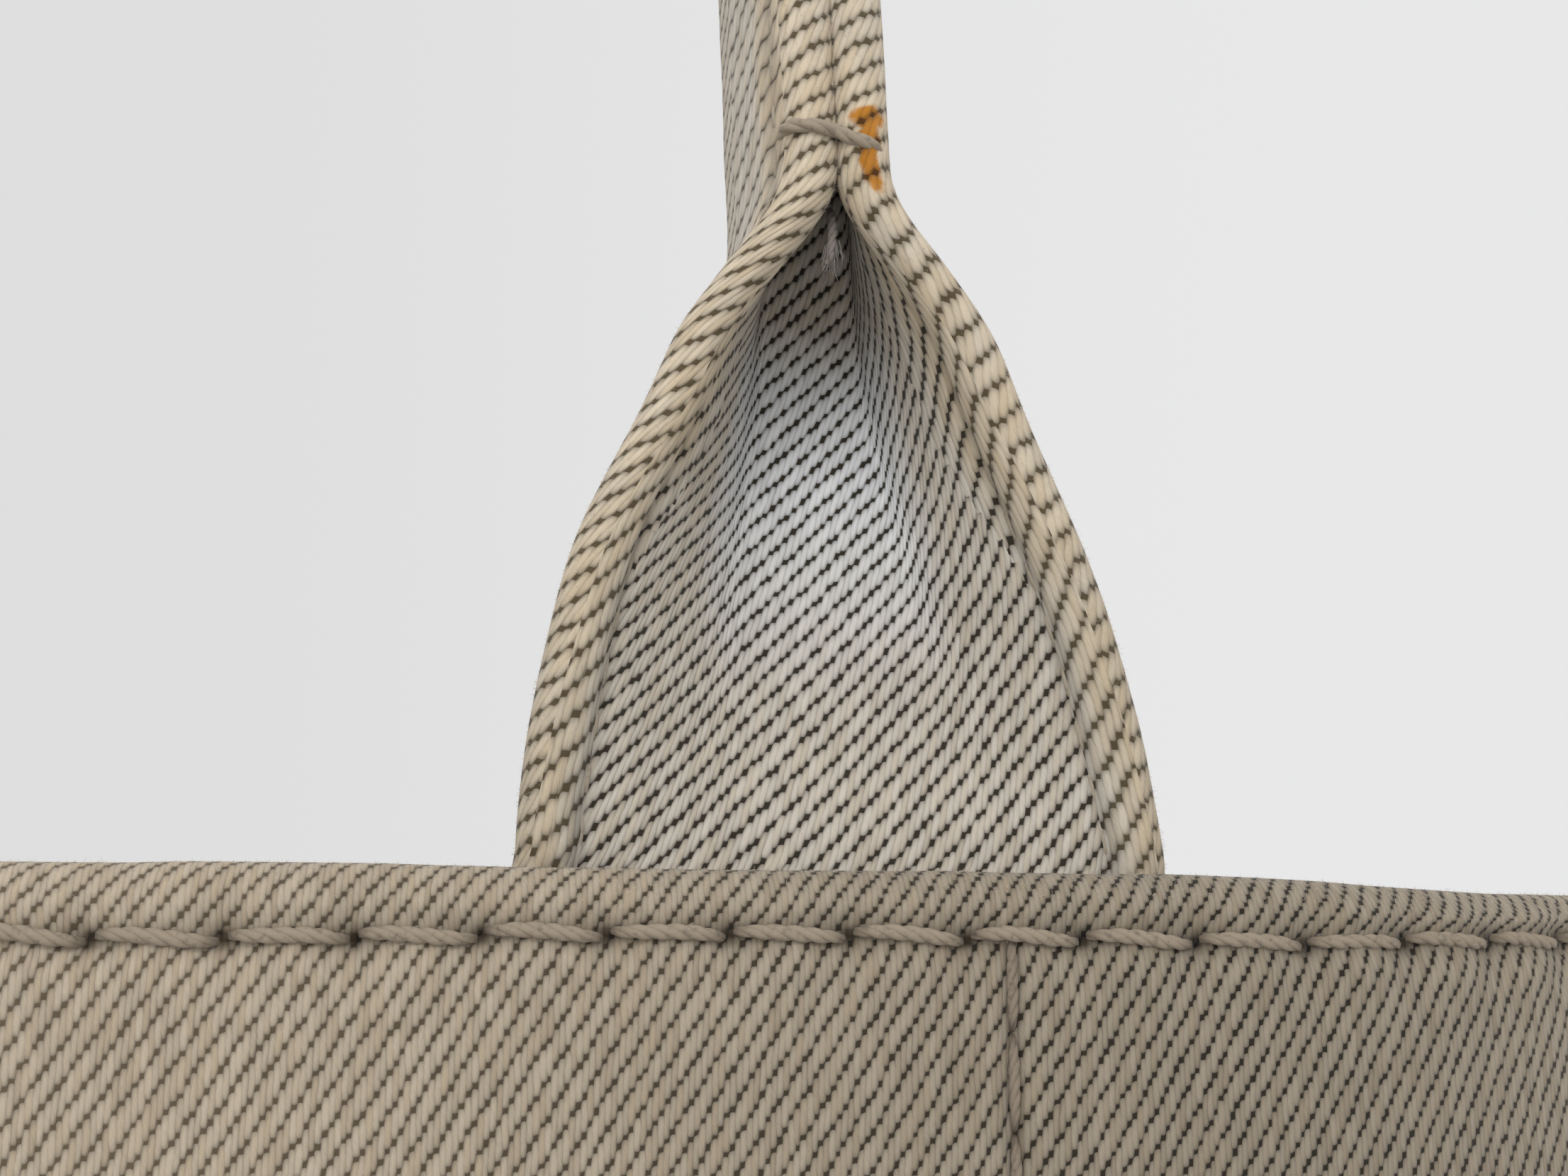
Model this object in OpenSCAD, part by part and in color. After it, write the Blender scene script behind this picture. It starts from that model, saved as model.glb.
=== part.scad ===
// Canvas tool bucket organizer: a stiffened, lined bucket with pockets inside and out and two strap handles.
// The origin is the centre of the underside, +Z is up and the front faces -Y.

/* [Bucket] */
// Width of the flat front and rear panels
panel_w = 140; // [130:1:170]
// Depth from the front face to the rear face
bucket_d = 244; // [225:1:270]
// Radius of the four upright corners
corner_r = 50; // [40:1:60]
// Height of the rim
bucket_h = 300; // [270:1:360]

/* [Wall layers] */
// Thickness of the outer canvas
canvas_t = 1.0; // [0.8:0.1:1.4]
// Thickness of the stiffener sheets
board_t = 1.2; // [0.8:0.1:1.8]
// Thickness of the lining
lining_t = 0.8; // [0.6:0.1:1.2]
// Gap left between two plies
ply_gap = 0.2; // [0.15:0.05:0.3]
// Height of the hem that is turned to the inside
hem_h = 28; // [20:1:36]
// Height of the raw edge folded into the hem
hem_fold = 4.3; // [4:0.1:6]
// Distance of each upright seam from the handle leg beside it
seam_offset = 10.5; // [8:0.5:12]
// Width left free of stiffener at an upright seam
seam_w = 3; // [2:0.5:5]
// Width of the tape over a side seam
tape_w = 16; // [12:1:20]
// Thickness of tapes and bindings
tape_t = 0.8; // [0.6:0.1:1.2]
// Distance from the rim to the top of the seam tapes
tape_drop = 7; // [6:1:14]

/* [Base] */
// Thickness of the base canvas
base_t = 1.2; // [0.8:0.1:2]
// Thickness of the base board
base_board_t = 3; // [2:0.5:5]
// Radius of the piping round the base
piping_r = 2; // [1.5:0.1:2.6]

/* [Outer pockets] */
// How far an outer pocket stands out from the wall
pocket_bulge = 20; // [14:1:24]
// Width of the sewn edge beside each pocket
pocket_flange = 4; // [3:0.5:6]
// Space between the pocket edges and what is beside them
pocket_space = 1; // [0.6:0.2:3]
// Height of the pocket bottoms above the base
pocket_z = 9; // [7:1:20]
// Drop from a hanging handle's tip to the pocket tops
hang_clear = 22; // [10:1:40]
// Height of the binding on a pocket top
binding_h = 11; // [8:1:16]

/* [Inner pockets] */
// How far an inner pocket stands in from the wall
inner_bulge = 18; // [12:1:22]
// Half of the angle that a side inner pocket covers
inner_half_angle = 16; // [12:1:18]
// Drop from the strap ends to the inner pocket tops
inner_drop = 30; // [15:1:60]

/* [Handles] */
// Width of the handle strap laid flat
strap_w = 38; // [34:1:40]
// Thickness of the handle strap
strap_t = 2.4; // [2:0.1:2.8]
// Distance from a strap's edge to the panel's corner
leg_margin = 3; // [2:0.5:6]
// Length of the straight part of each leg
leg_len = 65; // [60:1:80]
// Lean of each leg towards the other
leg_lean = 3; // [0:0.5:6]
// Length over which the strap folds up into a grip
fold_run = 43; // [38:1:50]
// Angle of the folded sides where the grip begins
fold_angle = 107; // [100:1:107]
// Width of each rounded crease
crease_w = 6.5; // [6:0.1:7.5]
// Half width of the flat middle at the strap's root
middle_root = 5; // [4:0.5:6]
// Half width of the flat middle along the grip
middle_grip = 1.5; // [1.4:0.1:2]
// How far a handle swings into the bucket
swing_in = 80; // [60:1:80]
// How far a handle swings out of the bucket
swing_out = 165; // [150:1:165]
// Clearance of a swinging strap from the rim
swing_gap = 0.3; // [0.3:0.1:0.5]
// Length of the strap ends sewn inside the wall
end_len = 60; // [45:1:75]
// Clearance of a strap end below the swinging strap
end_gap = 2.2; // [2:0.1:4]

/* [Hidden] */
$fn = 96;

// Plan of the wall: flat panels front and rear, four corner arcs and two side arcs, all tangent.
half_panel = panel_w / 2;
half_d = bucket_d / 2;
corner_y = half_d - corner_r;
side_r = corner_r + norm([half_panel, corner_y]);
side_angle = atan2(corner_y, half_panel);
reach = 2 * side_r;
corner_steps = 10;
side_steps = 24;
roll_steps = 10;
piping_sides = 10;

// Depths of the plies, measured inwards from the outer face.
board_in = canvas_t + ply_gap;
lining_in = board_in + board_t + ply_gap;
hem_in = lining_in + lining_t + ply_gap;
wall_t = hem_in + canvas_t;
roll_r = wall_t / 2;
axis_y = half_d - roll_r;
axis_z = bucket_h - roll_r;

// Levels of the base.
board_z = base_t + ply_gap;
wall_z = board_z + base_board_t + ply_gap;
floor_z = wall_z + lining_t;
ply_top = bucket_h - hem_fold - ply_gap;

// Places of the handles and seams.
leg_x = half_panel - leg_margin - strap_w / 2;
seam_x = leg_x + seam_offset;
toe_angle = (swing_in + 180 - swing_out) / 2;
toe_r = (roll_r + swing_gap) / cos((swing_in - 180 + swing_out) / 2);
toe_in = toe_r * cos(toe_angle);
toe_up = toe_r * sin(toe_angle);
arch_r = (leg_x - leg_len * sin(leg_lean)) / cos(leg_lean);
arch_z = leg_len * cos(leg_lean) - arch_r * sin(leg_lean);
arch_len = arch_r * (180 - 2 * leg_lean) * PI / 180;
strap_len = 2 * leg_len + arch_len;
grip_half = middle_grip + crease_w * 180 / PI / fold_angle + strap_t / 2;
hang_reach = toe_up + arch_z + arch_r + grip_half;
end_in = wall_t + ply_gap;
end_top = axis_z - toe_in - strap_t - end_gap;

// Places of the pockets.
pocket_top = axis_z - hang_reach - hang_clear;
seat = ply_gap;
front_pocket_x = (half_panel + pocket_space / 2) / 2;
front_pocket_half = (half_panel - 1.5 * pocket_space) / 2;
tape_angle = asin((tape_w / 2 + pocket_space) / side_r);
side_pocket_angle = (side_angle + tape_angle) / 2;
side_pocket_half = (side_angle - tape_angle) / 2;
inner_top = end_top - end_len - inner_drop;
inner_wall = lining_in + lining_t;
inner_angle = side_angle / 2;
inner_panel_half = seam_x + pocket_flange / 2;
inner_z = floor_z + ply_gap;

cream = [0.80, 0.76, 0.68];
straw = [0.76, 0.70, 0.58];
grey = [0.45, 0.45, 0.44];
taupe = [0.58, 0.53, 0.46];

// Filled plan of the wall, grown outwards by d.
module plan(d = 0) {
    square([panel_w, 2 * (half_d + d)], center = true);
    for (x = [-1, 1], y = [-1, 1])
        translate([x * half_panel, y * corner_y]) circle(corner_r + d);
    intersection() {
        circle(side_r + d);
        for (x = [-1, 1])
            polygon([[0, 0], x * reach * [cos(side_angle), sin(side_angle)],
                x * reach * [cos(side_angle), -sin(side_angle)]]);
    }
}

// Upright sheet that follows the wall, from depth a to depth a + t.
module ply(a, t, z0, z1) {
    translate([0, 0, z0])
        linear_extrude(z1 - z0)
            difference() {
                plan(-a);
                plan(-a - t);
            }
}

// Stops round the plan: [centre of curvature, radius, angle], for the wall's face at each bend.
function half_stops(turn) =
    let (c = [half_panel, corner_y], s = turn == 0 ? 1 : -1)
    concat(
        [for (i = [0:corner_steps]) [s * c[0], -s * c[1], corner_r,
            turn - 90 + (90 - side_angle) * i / corner_steps]],
        [for (i = [1:side_steps - 1]) [0, 0, side_r, turn - side_angle + 2 * side_angle * i / side_steps]],
        [for (i = [0:corner_steps]) [s * c[0], s * c[1], corner_r,
            turn + side_angle + (90 - side_angle) * i / corner_steps]]);
wall_stops = concat(half_stops(0), half_stops(180));

// Triangles between two rings of n points that start at a and b.
function band(n, a, b) = [
    for (i = [0:n - 1], k = [0, 1])
        k == 0 ? [a + i, b + (i + 1) % n, b + i] : [a + i, a + (i + 1) % n, b + (i + 1) % n]
];

// Closed ring round the wall. The profile's points are [out from the wall's face, height], clockwise.
module round_wall(profile) {
    n = len(profile);
    count = len(wall_stops);
    polyhedron(
        points = [for (s = wall_stops, p = profile)
            [s[0] + (s[2] + p[0]) * cos(s[3]), s[1] + (s[2] + p[0]) * sin(s[3]), p[1]]],
        faces = [for (k = [0:count - 1], f = band(n, ((k + 1) % count) * n, k * n)) f]);
}

function arc_points(centre, r, from, to, n) =
    [for (i = [0:n]) let (a = from + (to - from) * i / n) centre + r * [cos(a), sin(a)]];

// The outer canvas rises up the wall, rolls over the rim and comes down inside as the hem.
module outer_canvas()
    color(cream)
        round_wall(concat(
            [[-canvas_t, board_z], [-canvas_t, bucket_h - hem_fold], [-hem_in, bucket_h - hem_fold],
                [-hem_in, bucket_h - hem_h], [-wall_t, bucket_h - hem_h]],
            arc_points([-roll_r, axis_z], roll_r, 180, 0, roll_steps),
            [[0, board_z]]));

module panel_stiffener(side)
    color(grey)
        intersection() {
            ply(board_in, board_t, wall_z, ply_top);
            translate([-seam_x + seam_w / 2, side < 0 ? -reach : 0, 0])
                cube([2 * seam_x - seam_w, reach, bucket_h]);
        }

module side_stiffener(side)
    color(grey)
        intersection() {
            ply(board_in, board_t, wall_z, ply_top);
            translate([side < 0 ? -reach : seam_x + seam_w / 2, -reach, 0])
                cube([reach - seam_x - seam_w / 2, 2 * reach, bucket_h]);
        }

module front_stiffener() panel_stiffener(-1);
module rear_stiffener() panel_stiffener(1);
module left_stiffener() side_stiffener(-1);
module right_stiffener() side_stiffener(1);

module lining() color(cream) ply(lining_in, lining_t, wall_z, ply_top);

module base_canvas() color(cream) linear_extrude(base_t) plan();

module base_board()
    color(grey)
        translate([0, 0, board_z]) linear_extrude(base_board_t) plan(-board_in);

module base_lining()
    color(cream)
        translate([0, 0, wall_z]) linear_extrude(lining_t) plan(-inner_wall - ply_gap);

module base_piping()
    color(taupe)
        round_wall(arc_points([piping_r + ply_gap, piping_r + ply_gap], piping_r, 360, 360 / piping_sides,
            piping_sides - 1));

module seam_tape(side)
    color(taupe)
        intersection() {
            ply(-ply_gap - tape_t, tape_t, pocket_z, bucket_h - tape_drop);
            translate([side < 0 ? -reach : 0, -tape_w / 2, 0]) cube([reach, tape_w, bucket_h]);
        }

module left_seam_tape() seam_tape(-1);
module right_seam_tape() seam_tape(1);

// Radius of the arc through both ends of a chord of half length half, standing out by rise.
function arc_r(half, rise) = (half * half + rise * rise) / (2 * rise);

// Distance from the bucket's axis to the centre of a pocket's arc on a round wall of radius r.
function out_centre(r, rise, half) =
    ((r + rise) * (r + rise) - r * r) / (2 * (r + rise - r * cos(half)));
function in_centre(r, rise, half) =
    (r * r - (r - rise) * (r - rise)) / (2 * (r * cos(half) - r + rise));

// Round face of an outer pocket, grown by d: on a flat panel and on a round side.
module panel_arc(d) {
    r = arc_r(front_pocket_half - pocket_flange, pocket_bulge);
    translate([0, r - half_d - seat - pocket_bulge]) circle(r + d);
}

module side_arc(d) {
    r = side_r + seat;
    centre = out_centre(r, pocket_bulge, side_pocket_half - asin(pocket_flange / r));
    translate([0, -centre]) circle(r + pocket_bulge - centre + d);
}

// Part of the plan that one pocket and its sewn edges may use.
module panel_field(half) translate([-half, -reach]) square([2 * half, reach]);

module side_field(half) {
    edge = reach * [sin(half), -cos(half)];
    polygon([[0, 0], edge, [-edge[0], edge[1]]]);
}

// Outer pocket, from an arc and a field: a bowed sheet with edges sewn to the wall, and its bottom.
module outer_pocket(place) {
    translate([0, 0, pocket_z])
        linear_extrude(pocket_top - pocket_z)
            difference() {
                intersection() {
                    union() {
                        plan(seat + canvas_t);
                        outer_arc(place, 0);
                    }
                    outer_field(place);
                }
                plan(seat);
                outer_arc(place, -canvas_t);
            }
    translate([0, 0, pocket_z])
        linear_extrude(canvas_t)
            difference() {
                outer_arc(place, 0);
                plan(seat);
            }
}

// Binding folded over the top edge of an outer pocket.
module outer_binding(place) {
    difference() {
        translate([0, 0, pocket_top - binding_h])
            linear_extrude(binding_h + ply_gap + tape_t)
                difference() {
                    outer_arc(place, ply_gap + tape_t);
                    outer_arc(place, -canvas_t - ply_gap - tape_t);
                    plan(seat + canvas_t + ply_gap);
                }
        translate([0, 0, pocket_top - binding_h - 1])
            linear_extrude(binding_h + ply_gap + 1)
                difference() {
                    outer_arc(place, ply_gap);
                    outer_arc(place, -canvas_t - ply_gap);
                }
    }
}

// A place is [on a round side, turn about the bucket's axis, shift along the panel].
function panel_place(side, x) = [false, side < 0 ? 0 : 180, side < 0 ? x : -x];
function side_place(side, y) = [true, side * 90 + side * y * side_pocket_angle, 0];

module outer_arc(place, d)
    rotate(place[1])
        translate([place[2], 0])
            if (place[0]) side_arc(d);
            else panel_arc(d);

module outer_field(place)
    rotate(place[1])
        translate([place[2], 0])
            if (place[0]) side_field(side_pocket_half);
            else panel_field(front_pocket_half);

module front_left_pocket() color(cream) outer_pocket(panel_place(-1, -front_pocket_x));
module front_right_pocket() color(cream) outer_pocket(panel_place(-1, front_pocket_x));
module rear_left_pocket() color(cream) outer_pocket(panel_place(1, -front_pocket_x));
module rear_right_pocket() color(cream) outer_pocket(panel_place(1, front_pocket_x));
module left_front_pocket() color(cream) outer_pocket(side_place(-1, -1));
module left_rear_pocket() color(cream) outer_pocket(side_place(-1, 1));
module right_front_pocket() color(cream) outer_pocket(side_place(1, -1));
module right_rear_pocket() color(cream) outer_pocket(side_place(1, 1));

module front_left_binding() color(taupe) outer_binding(panel_place(-1, -front_pocket_x));
module front_right_binding() color(taupe) outer_binding(panel_place(-1, front_pocket_x));
module rear_left_binding() color(taupe) outer_binding(panel_place(1, -front_pocket_x));
module rear_right_binding() color(taupe) outer_binding(panel_place(1, front_pocket_x));
module left_front_binding() color(taupe) outer_binding(side_place(-1, -1));
module left_rear_binding() color(taupe) outer_binding(side_place(-1, 1));
module right_front_binding() color(taupe) outer_binding(side_place(1, -1));
module right_rear_binding() color(taupe) outer_binding(side_place(1, 1));

// Round face of an inner pocket, grown by d: behind a flat panel and inside a round side.
module inner_panel_arc(d) {
    r = arc_r(inner_panel_half - pocket_flange, inner_bulge);
    translate([0, -half_d + inner_wall + seat + inner_bulge - r]) circle(r + d);
}

module inner_side_arc(d) {
    r = side_r - inner_wall - seat;
    centre = in_centre(r, inner_bulge, inner_half_angle - asin(pocket_flange / r));
    translate([0, -centre]) circle(centre - r + inner_bulge + d);
}

module inner_arc(place, d)
    rotate(place[1])
        if (place[0]) inner_side_arc(d);
        else inner_panel_arc(d);

module inner_field(place)
    rotate(place[1])
        if (place[0]) side_field(inner_half_angle);
        else panel_field(inner_panel_half);

// Inner pocket: a bowed sheet with edges sewn to the lining, and its bottom.
module inner_pocket(place) {
    translate([0, 0, inner_z])
        linear_extrude(inner_top - inner_z)
            difference() {
                intersection() {
                    plan(-inner_wall - seat);
                    inner_field(place);
                    union() {
                        inner_arc(place, 0);
                        difference() {
                            plan(-inner_wall);
                            plan(-inner_wall - seat - lining_t);
                        }
                    }
                }
                inner_arc(place, -lining_t);
            }
    translate([0, 0, inner_z])
        linear_extrude(lining_t)
            intersection() {
                plan(-inner_wall - seat);
                inner_arc(place, 0);
            }
}

// Binding folded over the top edge of an inner pocket.
module inner_binding(place) {
    difference() {
        translate([0, 0, inner_top - binding_h])
            linear_extrude(binding_h + ply_gap + tape_t)
                intersection() {
                    plan(-inner_wall - seat - lining_t - ply_gap);
                    difference() {
                        inner_arc(place, ply_gap + tape_t);
                        inner_arc(place, -lining_t - ply_gap - tape_t);
                    }
                }
        translate([0, 0, inner_top - binding_h - 1])
            linear_extrude(binding_h + ply_gap + 1)
                difference() {
                    inner_arc(place, ply_gap);
                    inner_arc(place, -lining_t - ply_gap);
                }
    }
}

function inner_panel_place(side) = [false, side < 0 ? 0 : 180];
function inner_side_place(side, y) = [true, side * 90 + side * y * inner_angle];

module inner_front_pocket() color(cream) inner_pocket(inner_panel_place(-1));
module inner_rear_pocket() color(cream) inner_pocket(inner_panel_place(1));
module inner_left_front_pocket() color(cream) inner_pocket(inner_side_place(-1, -1));
module inner_left_rear_pocket() color(cream) inner_pocket(inner_side_place(-1, 1));
module inner_right_front_pocket() color(cream) inner_pocket(inner_side_place(1, -1));
module inner_right_rear_pocket() color(cream) inner_pocket(inner_side_place(1, 1));

module inner_front_binding() color(taupe) inner_binding(inner_panel_place(-1));
module inner_rear_binding() color(taupe) inner_binding(inner_panel_place(1));
module inner_left_front_binding() color(taupe) inner_binding(inner_side_place(-1, -1));
module inner_left_rear_binding() color(taupe) inner_binding(inner_side_place(-1, 1));
module inner_right_front_binding() color(taupe) inner_binding(inner_side_place(1, -1));
module inner_right_rear_binding() color(taupe) inner_binding(inner_side_place(1, 1));

// Fixed ends of a handle's strap, sewn flat inside the wall.
module strap_ends(side)
    color(straw)
        for (x = [-leg_x, leg_x])
            translate([x - strap_w / 2, side * (half_d - end_in - strap_t / 2) - strap_t / 2, end_top - end_len])
                cube([strap_w, strap_t, end_len]);

module front_strap_ends() strap_ends(-1);
module rear_strap_ends() strap_ends(1);

// Handle: a flat strap whose sides fold up towards each other until they meet in a grip. Every section has
// the same developed width: a flat middle, two rounded creases and two flat sides.
fold_rings = 9;
leg_rings = 2;
arch_rings = 16;
crease_points = 4;
root_fold = 4;

function fold_share(s) = min(1, min(s, strap_len - s) / fold_run);
function fold_at(s) = root_fold + (fold_angle - root_fold) * fold_share(s);
function middle_at(s) = middle_root + (middle_grip - middle_root) * fold_share(s);

// Middle line of one half section: points [across, towards the front], with the direction of each.
function crease_r(fold) = crease_w / (fold * PI / 180);
function crease_point(middle, fold, a) = [middle + crease_r(fold) * sin(a), crease_r(fold) * (1 - cos(a))];
function side_end(middle, fold) =
    crease_point(middle, fold, fold) + (strap_w / 2 - middle - crease_w) * [cos(fold), sin(fold)];
function half_line(middle, fold) = concat(
    [for (i = [0:crease_points]) concat(crease_point(middle, fold, fold * i / crease_points),
        fold * i / crease_points)],
    [concat(side_end(middle, fold), fold)]);

// One closed section, from the left side round the back to the right and home along the front face.
function offset_point(p, d) = [p[0] + d * sin(p[2]), p[1] - d * cos(p[2])];
function tip_point(p) = [p[0] + strap_t / 2 * cos(p[2]), p[1] + strap_t / 2 * sin(p[2])];
function flip(points) = [for (i = [len(points) - 1:-1:0]) [-points[i][0], points[i][1]]];
function section(middle, fold) =
    let (
        line = half_line(middle, fold),
        back = [for (p = line) offset_point(p, strap_t / 2)],
        front = [for (p = line) offset_point(p, -strap_t / 2)],
        tip = tip_point(line[len(line) - 1]),
        right = concat(back, [tip], [for (i = [len(front) - 1:-1:0]) front[i]])
    )
    concat(right, flip(right));

// Route of the strap's middle line, in the handle's plane, and the way it heads.
function heading(s) =
    s <= leg_len ? 90 + leg_lean
    : s >= leg_len + arch_len ? 270 - leg_lean
    : 90 + leg_lean + (s - leg_len) / arch_r * 180 / PI;
function leg_point(s) = [leg_x - s * sin(leg_lean), s * cos(leg_lean)];
function route(s) =
    s <= leg_len ? leg_point(s)
    : s >= leg_len + arch_len ? [-leg_point(strap_len - s)[0], leg_point(strap_len - s)[1]]
    : [arch_r * cos(heading(s) - 90), arch_z + arch_r * sin(heading(s) - 90)];

// Way that a section faces: level at the rim, then square to the route.
function turn_at(s) =
    s <= leg_len ? 90 + leg_lean * fold_share(s)
    : s >= leg_len + arch_len ? 270 - leg_lean * fold_share(s)
    : heading(s);

// Depth of the strap behind the rim: its middle sinks back as its sides come forward.
function sink(s) = (1 - fold_share(s) / 4) * side_end(middle_at(s), fold_at(s))[1];
function ring(s) = [
    for (p = section(middle_at(s), fold_at(s)))
        [route(s)[0] + p[0] * sin(turn_at(s)), toe_in + strap_t / 2 + sink(s) - p[1],
            toe_up + route(s)[1] - p[0] * cos(turn_at(s))]
];

root_stops = concat(
    [for (i = [0:fold_rings]) fold_run * i / fold_rings],
    [for (i = [1:leg_rings]) fold_run + (leg_len - fold_run) * i / leg_rings]);
stops = concat(
    root_stops,
    [for (i = [1:arch_rings - 1]) leg_len + arch_len * i / arch_rings],
    [for (i = [len(root_stops) - 1:-1:0]) strap_len - root_stops[i]]);

module folded_strap() {
    rings = [for (s = stops) ring(s)];
    n = len(rings[0]);
    last = len(rings) - 1;
    polyhedron(
        points = [for (r = rings, p = r) p],
        faces = concat(
            [[for (i = [n - 1:-1:0]) i]],
            [for (k = [0:last - 1], f = band(n, k * n, (k + 1) * n)) f],
            [[for (i = [0:n - 1]) last * n + i]]));
}

// The front handle stands upright and the rear one hangs outside the bucket.
module front_handle()
    color(straw) translate([0, -axis_y, axis_z]) folded_strap();

module rear_handle()
    color(straw)
        translate([0, axis_y, axis_z]) rotate([-swing_out, 0, 0]) mirror([0, 1, 0]) folded_strap();

outer_canvas();
front_stiffener();
rear_stiffener();
left_stiffener();
right_stiffener();
lining();
base_canvas();
base_board();
base_lining();
base_piping();
left_seam_tape();
right_seam_tape();
front_left_pocket();
front_right_pocket();
rear_left_pocket();
rear_right_pocket();
left_front_pocket();
left_rear_pocket();
right_front_pocket();
right_rear_pocket();
front_left_binding();
front_right_binding();
rear_left_binding();
rear_right_binding();
left_front_binding();
left_rear_binding();
right_front_binding();
right_rear_binding();
inner_front_pocket();
inner_rear_pocket();
inner_left_front_pocket();
inner_left_rear_pocket();
inner_right_front_pocket();
inner_right_rear_pocket();
inner_front_binding();
inner_rear_binding();
inner_left_front_binding();
inner_left_rear_binding();
inner_right_front_binding();
inner_right_rear_binding();
front_strap_ends();
rear_strap_ends();
front_handle();
rear_handle();
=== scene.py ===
import math
import bpy
import numpy as np
from mathutils import Euler, Matrix, Vector


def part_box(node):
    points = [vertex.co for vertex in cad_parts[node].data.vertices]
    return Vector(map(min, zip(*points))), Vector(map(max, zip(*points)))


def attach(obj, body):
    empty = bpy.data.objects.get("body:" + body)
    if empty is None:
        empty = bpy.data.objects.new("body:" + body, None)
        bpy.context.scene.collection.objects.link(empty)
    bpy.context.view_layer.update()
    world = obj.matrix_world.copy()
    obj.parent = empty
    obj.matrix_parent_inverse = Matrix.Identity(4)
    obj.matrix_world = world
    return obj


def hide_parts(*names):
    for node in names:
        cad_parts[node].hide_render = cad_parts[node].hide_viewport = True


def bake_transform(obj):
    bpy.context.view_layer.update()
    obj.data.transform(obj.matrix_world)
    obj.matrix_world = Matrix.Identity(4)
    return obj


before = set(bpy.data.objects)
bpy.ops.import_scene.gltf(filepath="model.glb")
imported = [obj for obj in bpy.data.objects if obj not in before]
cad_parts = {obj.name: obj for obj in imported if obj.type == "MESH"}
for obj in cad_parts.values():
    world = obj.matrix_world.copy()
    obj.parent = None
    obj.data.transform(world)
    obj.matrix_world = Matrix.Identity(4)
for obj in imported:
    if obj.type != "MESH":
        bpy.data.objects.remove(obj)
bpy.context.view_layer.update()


def boxOf(node):  # low and high corner, in mm
    return [np.array(corner) * 1000 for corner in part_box(node)]


def log(text):
    print("bucket:", text, flush=True)


# sizes in mm, most of them taken from the frame
strapWidth = 38.0
wallT = 4.6  # all plies at the hem
cornerR = 50.0
rimZ = boxOf("outer_canvas")[1][2]
sideR, halfDepth = boxOf("base_canvas")[1][:2]
endsLow, endsHigh = boxOf("front_strap_ends")
cornerY = halfDepth - cornerR
panelHalf = math.sqrt((sideR - cornerR) ** 2 - cornerY ** 2)
sideAngle = math.atan2(cornerY, panelHalf)
rollR = wallT / 2
axisY, axisZ = halfDepth - rollR, rimZ - rollR
legX = endsHigh[0] - strapWidth / 2
seamX = legX + 8.4

# camera
cameraSet = {"place": (31.2, -210.3, 298.0), "turn": -8.0, "tilt": 10.75, "roll": 0.5, "lens": 37.8}


def makeCamera(c):
    data = bpy.data.cameras.new("camera")
    data.lens, data.sensor_width, data.clip_start = c["lens"], 36.0, 0.005
    camera = bpy.data.objects.new("camera", data)
    bpy.context.scene.collection.objects.link(camera)
    camera.location = Vector(c["place"]) / 1000
    level = Euler((math.radians(90 + c["tilt"]), 0, math.radians(c["turn"]))).to_matrix()
    camera.rotation_euler = (level @ Matrix.Rotation(math.radians(c["roll"]), 3, "Z")).to_euler()
    bpy.context.scene.camera = camera


makeCamera(cameraSet)


class Wire:  # an output of a node, reckoned with like a number; its other outputs by index or name
    def __init__(self, socket):
        self.socket = socket

    def __getitem__(self, key):
        return Wire(self.socket.node.outputs[key])


def addSigns():
    for sign, operation in (("add", "ADD"), ("sub", "SUBTRACT"), ("mul", "MULTIPLY"), ("truediv", "DIVIDE"),
                            ("pow", "POWER")):
        setattr(Wire, "__%s__" % sign, lambda one, two, operation=operation: calc(operation, one, two))
        setattr(Wire, "__r%s__" % sign, lambda one, two, operation=operation: calc(operation, two, one))


addSigns()


def treeOf(*values):
    return next(value.socket.id_data for value in values if isinstance(value, Wire))


def put(target, value):
    if isinstance(value, Wire):
        target.id_data.links.new(value.socket, target)
    else:
        target.default_value = value


def node(tree, kind, inputs=None, **settings):
    made = tree.nodes.new("ShaderNode" + kind)
    for key, value in settings.items():
        setattr(made, key, value)
    for key, value in (inputs or {}).items():
        put(made.inputs[key], value)
    return Wire(made.outputs[0]) if len(made.outputs) else None


def calc(operation, *values):
    return node(treeOf(*values), "Math", dict(enumerate(values)), operation=operation)


def blendColor(share, low, high, mode="MIX"):
    return node(treeOf(share, low, high), "Mix", {0: share, 6: low, 7: high}, data_type="RGBA", blend_type=mode)[2]


def remap(value, low, high, toLow=0.0, toHigh=1.0, shape="SMOOTHSTEP"):
    return node(treeOf(value), "MapRange", {0: value, 1: low, 2: high, 3: toLow, 4: toHigh}, interpolation_type=shape)


def noise(tree, place, scale, detail=2.0, **settings):
    return node(tree, "TexNoise", {"Vector": place, "Scale": scale, "Detail": detail}, **settings)


def grey(level, blue=1.0):
    return node(treeOf(level), "CombineColor", {0: level, 1: level, 2: level if blue == 1.0 else level * blue})


def bumped(tree, height, distance):
    return node(tree, "Bump", {"Strength": 1.0, "Distance": distance, "Height": height})


def mark(tree, name):
    return node(tree, "Attribute", attribute_name=name)["Fac"]


def rgb(r, g, b):  # display values 0-255 to linear
    def lin(v):
        v /= 255
        return v / 12.92 if v <= 0.04045 else ((v + 0.055) / 1.055) ** 2.4
    return (lin(r), lin(g), lin(b), 1.0)


def openGroup(name, **inputs):  # the kind of an input follows from its first value
    group = bpy.data.node_groups.new(name, "ShaderNodeTree")
    for label, value in inputs.items():
        kind = "Vector" if value is None else "Float" if isinstance(value, float) else "Color"
        socket = group.interface.new_socket(label, in_out="INPUT", socket_type="NodeSocket" + kind)
        if value is not None:
            socket.default_value = value
    return group, Wire(group.nodes.new("NodeGroupInput").outputs[0])


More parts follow.
